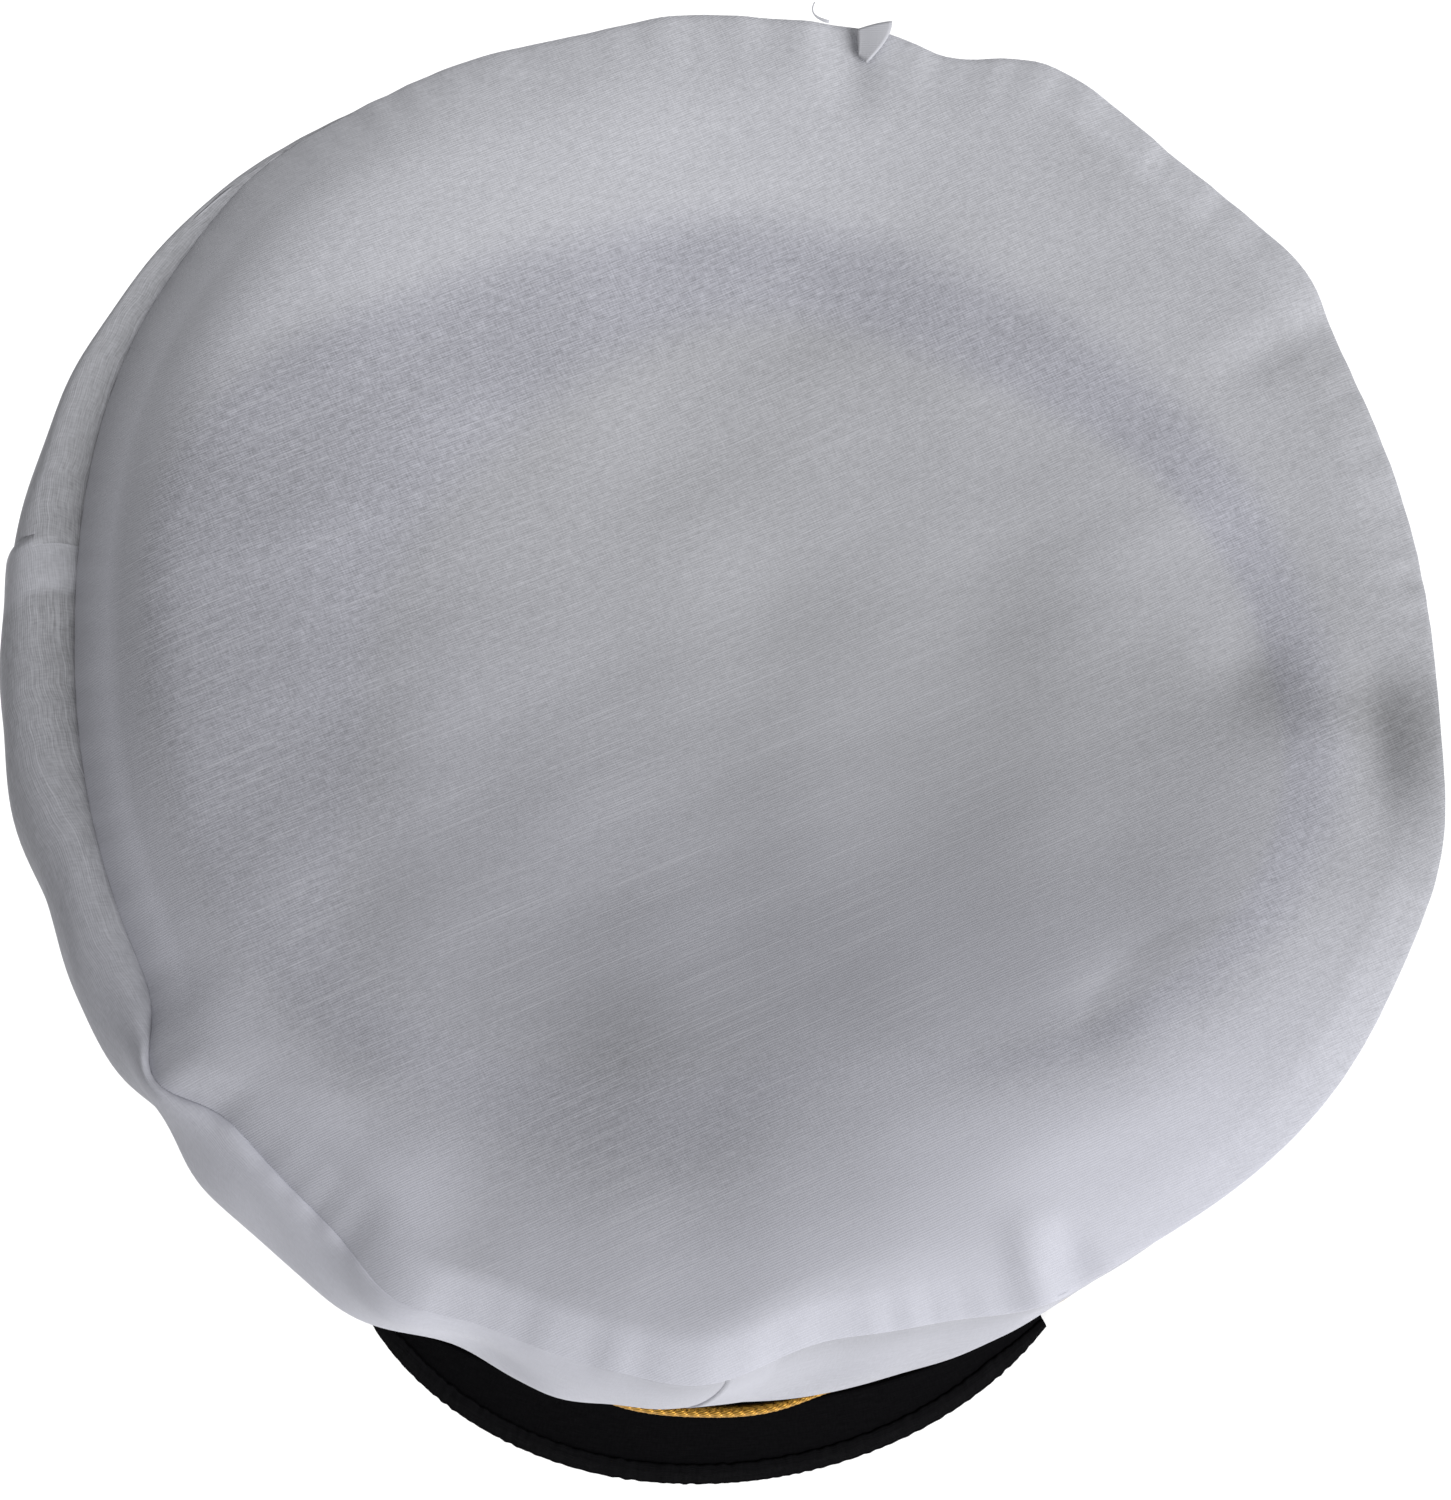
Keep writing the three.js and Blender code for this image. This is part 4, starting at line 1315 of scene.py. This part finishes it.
class CAPTAIN_HAT_OT_peak_binding(bpy.types.Operator):
    """Makes the puckered strip that is folded over the peak's edge."""

    bl_idname = "captain_hat.peak_binding"
    bl_label = "Peak binding"

    def execute(self, context):
        peak = context.scene.captain_hat_peak
        band = context.scene.captain_hat_band
        steps = 240
        side = 8
        turn = 10
        inner = peak.board / 2.0 + BINDING_CLEARANCE
        outer = inner + peak.binding
        bend = np.linspace(math.pi / 2.0, -math.pi / 2.0, turn)
        lap = np.linspace(-peak.lap, 0.0, side)
        # Over a third of its lap, the strip thickens from its lip
        face = outer - BINDING_LIP * (1.0 - eased(np.linspace(0.0, 1.0, side) * 3.0))
        down = np.concatenate([lap, BINDING_NOSE * np.cos(bend), lap[::-1],
                               lap, inner * BINDING_INSIDE * np.cos(bend[::-1]), lap[::-1]])
        lift = np.concatenate([face, outer * np.sin(bend), -face[::-1],
                               np.full(side, -inner), inner * np.sin(bend[::-1]), np.full(side, inner)])
        angle = peak_angles(peak, steps, len(down))
        waver = BINDING_WAVER * puckers(angle, lowest=150, highest=420, count=8, seed=31)
        wobble = waver * np.clip(-down / peak.lap, 0.0, 1.0)
        depth = peak_depth(peak, angle)
        covered = np.minimum(1.0, BINDING_MOST * depth / peak.lap)
        distance = depth + np.where(down < 0.0, down * covered, down) + wobble * covered
        swell = 1.0 + BINDING_SWELL * puckers(angle, lowest=150, highest=420, count=8, seed=33)
        points = peak_form(peak, band, angle, distance, lift * swell)
        piece = tube_object("peak_binding_strip", settled(points)[None])
        around = np.cumsum(np.hypot(np.diff(down, prepend=down[0]), np.diff(lift, prepend=lift[0])))
        give_map(piece, np.stack([run_round(band, angle), np.broadcast_to(around, angle.shape)], -1))
        material = black_weave("binding_weave", peak.edge_colour, spacing=0.0006, depth=0.0001,
                               roughness=0.55)
        dress(piece, material, "peak_edge", "peak_binding")
        return {"FINISHED"}


class CAPTAIN_HAT_OT_gold_braid(bpy.types.Operator):
    """Makes the plaited gold braid across the front of the band."""

    bl_idname = "captain_hat.gold_braid"
    bl_label = "Gold braid"

    def execute(self, context):
        trim = context.scene.captain_hat_trim
        band = context.scene.captain_hat_band
        peak = context.scene.captain_hat_peak
        strands = 3
        corners = 10
        steps_per_turn = 16
        reach = button_reach(trim, band, peak) - angle_round(band, trim.button_radius + peak.gap)
        length = math.radians(2.0 * reach) * band.length / 2.0
        turns = round(length / trim.pitch)
        steps = turns * steps_per_turn + 1
        share = np.linspace(0.0, 1.0, steps)
        strand, step = np.meshgrid(np.arange(strands), share, indexing="ij")
        phase = math.tau * (turns * step + strand / strands)
        angle = FRONT + reach * (1.0 - 2.0 * step)
        loose = bell(angle - math.degrees(trim.bow_at), math.degrees(trim.bow_width), 4)
        thick = (trim.end_thick + (trim.thick - trim.end_thick) * loose) / 2.0
        radius = STRAND_SHARE * thick
        rise = (trim.tall / 2.0 - radius) * np.sin(phase)
        out = thick + (thick - radius) * np.sin(2.0 * phase)
        path = beside_band(band, angle, peak.gap + out + trim.bow * loose, trim.height + rise)
        ahead = np.gradient(path, axis=1)
        ahead /= np.linalg.norm(ahead, axis=-1, keepdims=True)
        beside = np.cross(ahead, outwards(band, angle))
        beside /= np.linalg.norm(beside, axis=-1, keepdims=True)
        above = np.cross(beside, ahead)
        bend = np.linspace(0.0, math.tau, corners, endpoint=False)
        around = radius[:, :, None, None]
        points = path[:, :, None] + around * (beside[:, :, None] * STRAND_WIDTH * np.cos(bend)[:, None]
                                              + above[:, :, None] * np.sin(bend)[:, None])
        piece = tube_object("gold_braid_plait", settled(points))
        run = np.broadcast_to(lengths(path, 1)[:, :, None], points.shape[:3])
        girth = radius[:, :, None] * bend
        give_map(piece, np.stack([run, girth], -1))
        dress(piece, gold_thread(trim), "braid_thread", "gold_braid")
        return {"FINISHED"}


class CAPTAIN_HAT_OT_buttons(bpy.types.Operator):
    """Makes the two plain buttons at the ends of the braid."""

    bl_idname = "captain_hat.buttons"
    bl_label = "Buttons"

    def execute(self, context):
        trim = context.scene.captain_hat_trim
        band = context.scene.captain_hat_band
        peak = context.scene.captain_hat_peak
        sides = 48
        dome_steps = 14
        rim_steps = 9
        reach = button_reach(trim, band, peak)
        bend = np.linspace(0.0, math.pi / 2.0, dome_steps)
        rim = np.linspace(-math.pi / 2.0, math.pi / 2.0, rim_steps)
        edge = trim.button_rim / 2.0
        radius = np.concatenate([trim.button_radius - edge + edge * np.cos(rim),
                                 DOME_SHARE * trim.button_radius * np.cos(bend)[:-1]])
        height = np.concatenate([edge + edge * np.sin(rim),
                                 DOME_FOOT * trim.button_rim + trim.button_dome * np.sin(bend)[:-1]])
        material = button_brass(trim)
        for name, centre in (("button_left", FRONT - reach), ("button_right", FRONT + reach)):
            place = np.array([centre])
            axis = outwards(band, place)[0]
            start = beside_band(band, place, np.full(1, peak.gap), trim.height)[0]
            beside = np.cross(UP, axis)
            above = np.cross(axis, beside)
            turn = np.arange(sides) * math.tau / sides
            ring = np.cos(turn)[:, None] * beside + np.sin(turn)[:, None] * above
            points = start + radius[:, None, None] * ring + (height[:, None] * axis)[:, None]
            piece = tube_object(name + "_brass", settled(points)[None])
            dress(piece, material, "button_metal", name)
        return {"FINISHED"}


# Half the side of the floor, in metres
FLOOR_HALF = 3.0

# Where the two lights come from, and how wide they look, in degrees
KEY_FROM = (0.93, -0.46, 0.85)
KEY_WIDTH = 40
FLOOR_FROM = (0.0, 0.0, 1.0)
FLOOR_WIDTH = 20

# Width of the camera's sensor in millimetres, and the nearest that it sees, in metres
SENSOR = 36.0
NEAREST = 0.01


def soft_light(name, place, strength, width, floor, link):
    """A wide distant light from a direction. It falls on the floor alone, or on everything but the floor."""
    light = bpy.data.lights.new(name, "SUN")
    light.energy = strength
    light.angle = width
    lamp = bpy.data.objects.new(name, light)
    lamp.location = place
    lamp.rotation_mode = "QUATERNION"
    lamp.rotation_quaternion = (-lamp.location).to_track_quat("-Z", "Y")
    bpy.context.scene.collection.objects.link(lamp)
    lit = bpy.data.collections.new(name + "_receivers")
    lit.objects.link(floor)
    lit.collection_objects[0].light_linking.link_state = link
    lamp.light_linking.receiver_collection = lit


class CAPTAIN_HAT_OT_stage(bpy.types.Operator):
    """Makes the floor, the soft light and the camera over the hat."""

    bl_idname = "captain_hat.stage"
    bl_label = "Stage"

    def execute(self, context):
        stage = context.scene.captain_hat_stage
        signs = np.array([(-1.0, -1.0, 0.0), (1.0, -1.0, 0.0), (1.0, 1.0, 0.0), (-1.0, 1.0, 0.0)])
        corners = FLOOR_HALF * signs
        floor = piece_object("floor", corners, [(0, 1, 2, 3)])
        floor.data.materials.append(floor_paint(stage))
        world = bpy.data.worlds.new("studio")
        world.use_nodes = True
        background = world.node_tree.nodes["Background"]
        background.inputs["Color"].default_value = (1.0, 1.0, 1.0, 1.0)
        background.inputs["Strength"].default_value = stage.sky
        context.scene.world = world
        soft_light("key_light", KEY_FROM, stage.key_strength, math.radians(KEY_WIDTH), floor, "EXCLUDE")
        soft_light("floor_light", FLOOR_FROM, stage.floor_strength, math.radians(FLOOR_WIDTH), floor,
                   "INCLUDE")
        lens = bpy.data.cameras.new("photo_camera")
        lens.lens = stage.lens
        lens.sensor_width = SENSOR
        lens.clip_start = NEAREST
        camera = bpy.data.objects.new("photo_camera", lens)
        camera.location = (stage.camera_x, stage.camera_y, stage.camera_height)
        camera.rotation_euler = (0.0, 0.0, stage.camera_turn)
        context.scene.collection.objects.link(camera)
        context.scene.camera = camera
        context.scene.view_settings.view_transform = "Standard"
        return {"FINISHED"}


SETTINGS = {
    "captain_hat_crown": CaptainHatCrown,
    "captain_hat_band": CaptainHatBand,
    "captain_hat_peak": CaptainHatPeak,
    "captain_hat_trim": CaptainHatTrim,
    "captain_hat_stage": CaptainHatStage,
}

OPERATORS = (
    CAPTAIN_HAT_OT_stage,
    CAPTAIN_HAT_OT_head_band,
    CAPTAIN_HAT_OT_crown_top,
    CAPTAIN_HAT_OT_side_panels,
    CAPTAIN_HAT_OT_peak,
    CAPTAIN_HAT_OT_peak_binding,
    CAPTAIN_HAT_OT_gold_braid,
    CAPTAIN_HAT_OT_buttons,
)


class CAPTAIN_HAT_PT_sidebar(bpy.types.Panel):
    """Lists the hat's pieces and settings."""

    bl_idname = "CAPTAIN_HAT_PT_sidebar"
    bl_label = "Captain hat"
    bl_space_type = "VIEW_3D"
    bl_region_type = "UI"
    bl_category = "Hat"

    def draw(self, context):
        for operator in OPERATORS:
            self.layout.operator(operator.bl_idname)
        for holder in SETTINGS:
            group = getattr(context.scene, holder)
            box = self.layout.box()
            box.label(text=type(group).__doc__)
            for setting in group.__annotations__:
                box.prop(group, setting)


def register():
    """Registers the settings, the operators and the panel."""
    for holder, group in SETTINGS.items():
        bpy.utils.register_class(group)
        setattr(bpy.types.Scene, holder, bpy.props.PointerProperty(type=group))
    for operator in OPERATORS:
        bpy.utils.register_class(operator)
    bpy.utils.register_class(CAPTAIN_HAT_PT_sidebar)


def unregister():
    """Takes back what register() added."""
    bpy.utils.unregister_class(CAPTAIN_HAT_PT_sidebar)
    for operator in reversed(OPERATORS):
        bpy.utils.unregister_class(operator)
    for holder, group in SETTINGS.items():
        delattr(bpy.types.Scene, holder)
        bpy.utils.unregister_class(group)


def main():
    """Registers the add-on and dresses the hat piece by piece."""
    register()
    for operator in OPERATORS:
        family, action = operator.bl_idname.split(".")
        getattr(getattr(bpy.ops, family), action)()


if __name__ == "__main__":
    main()
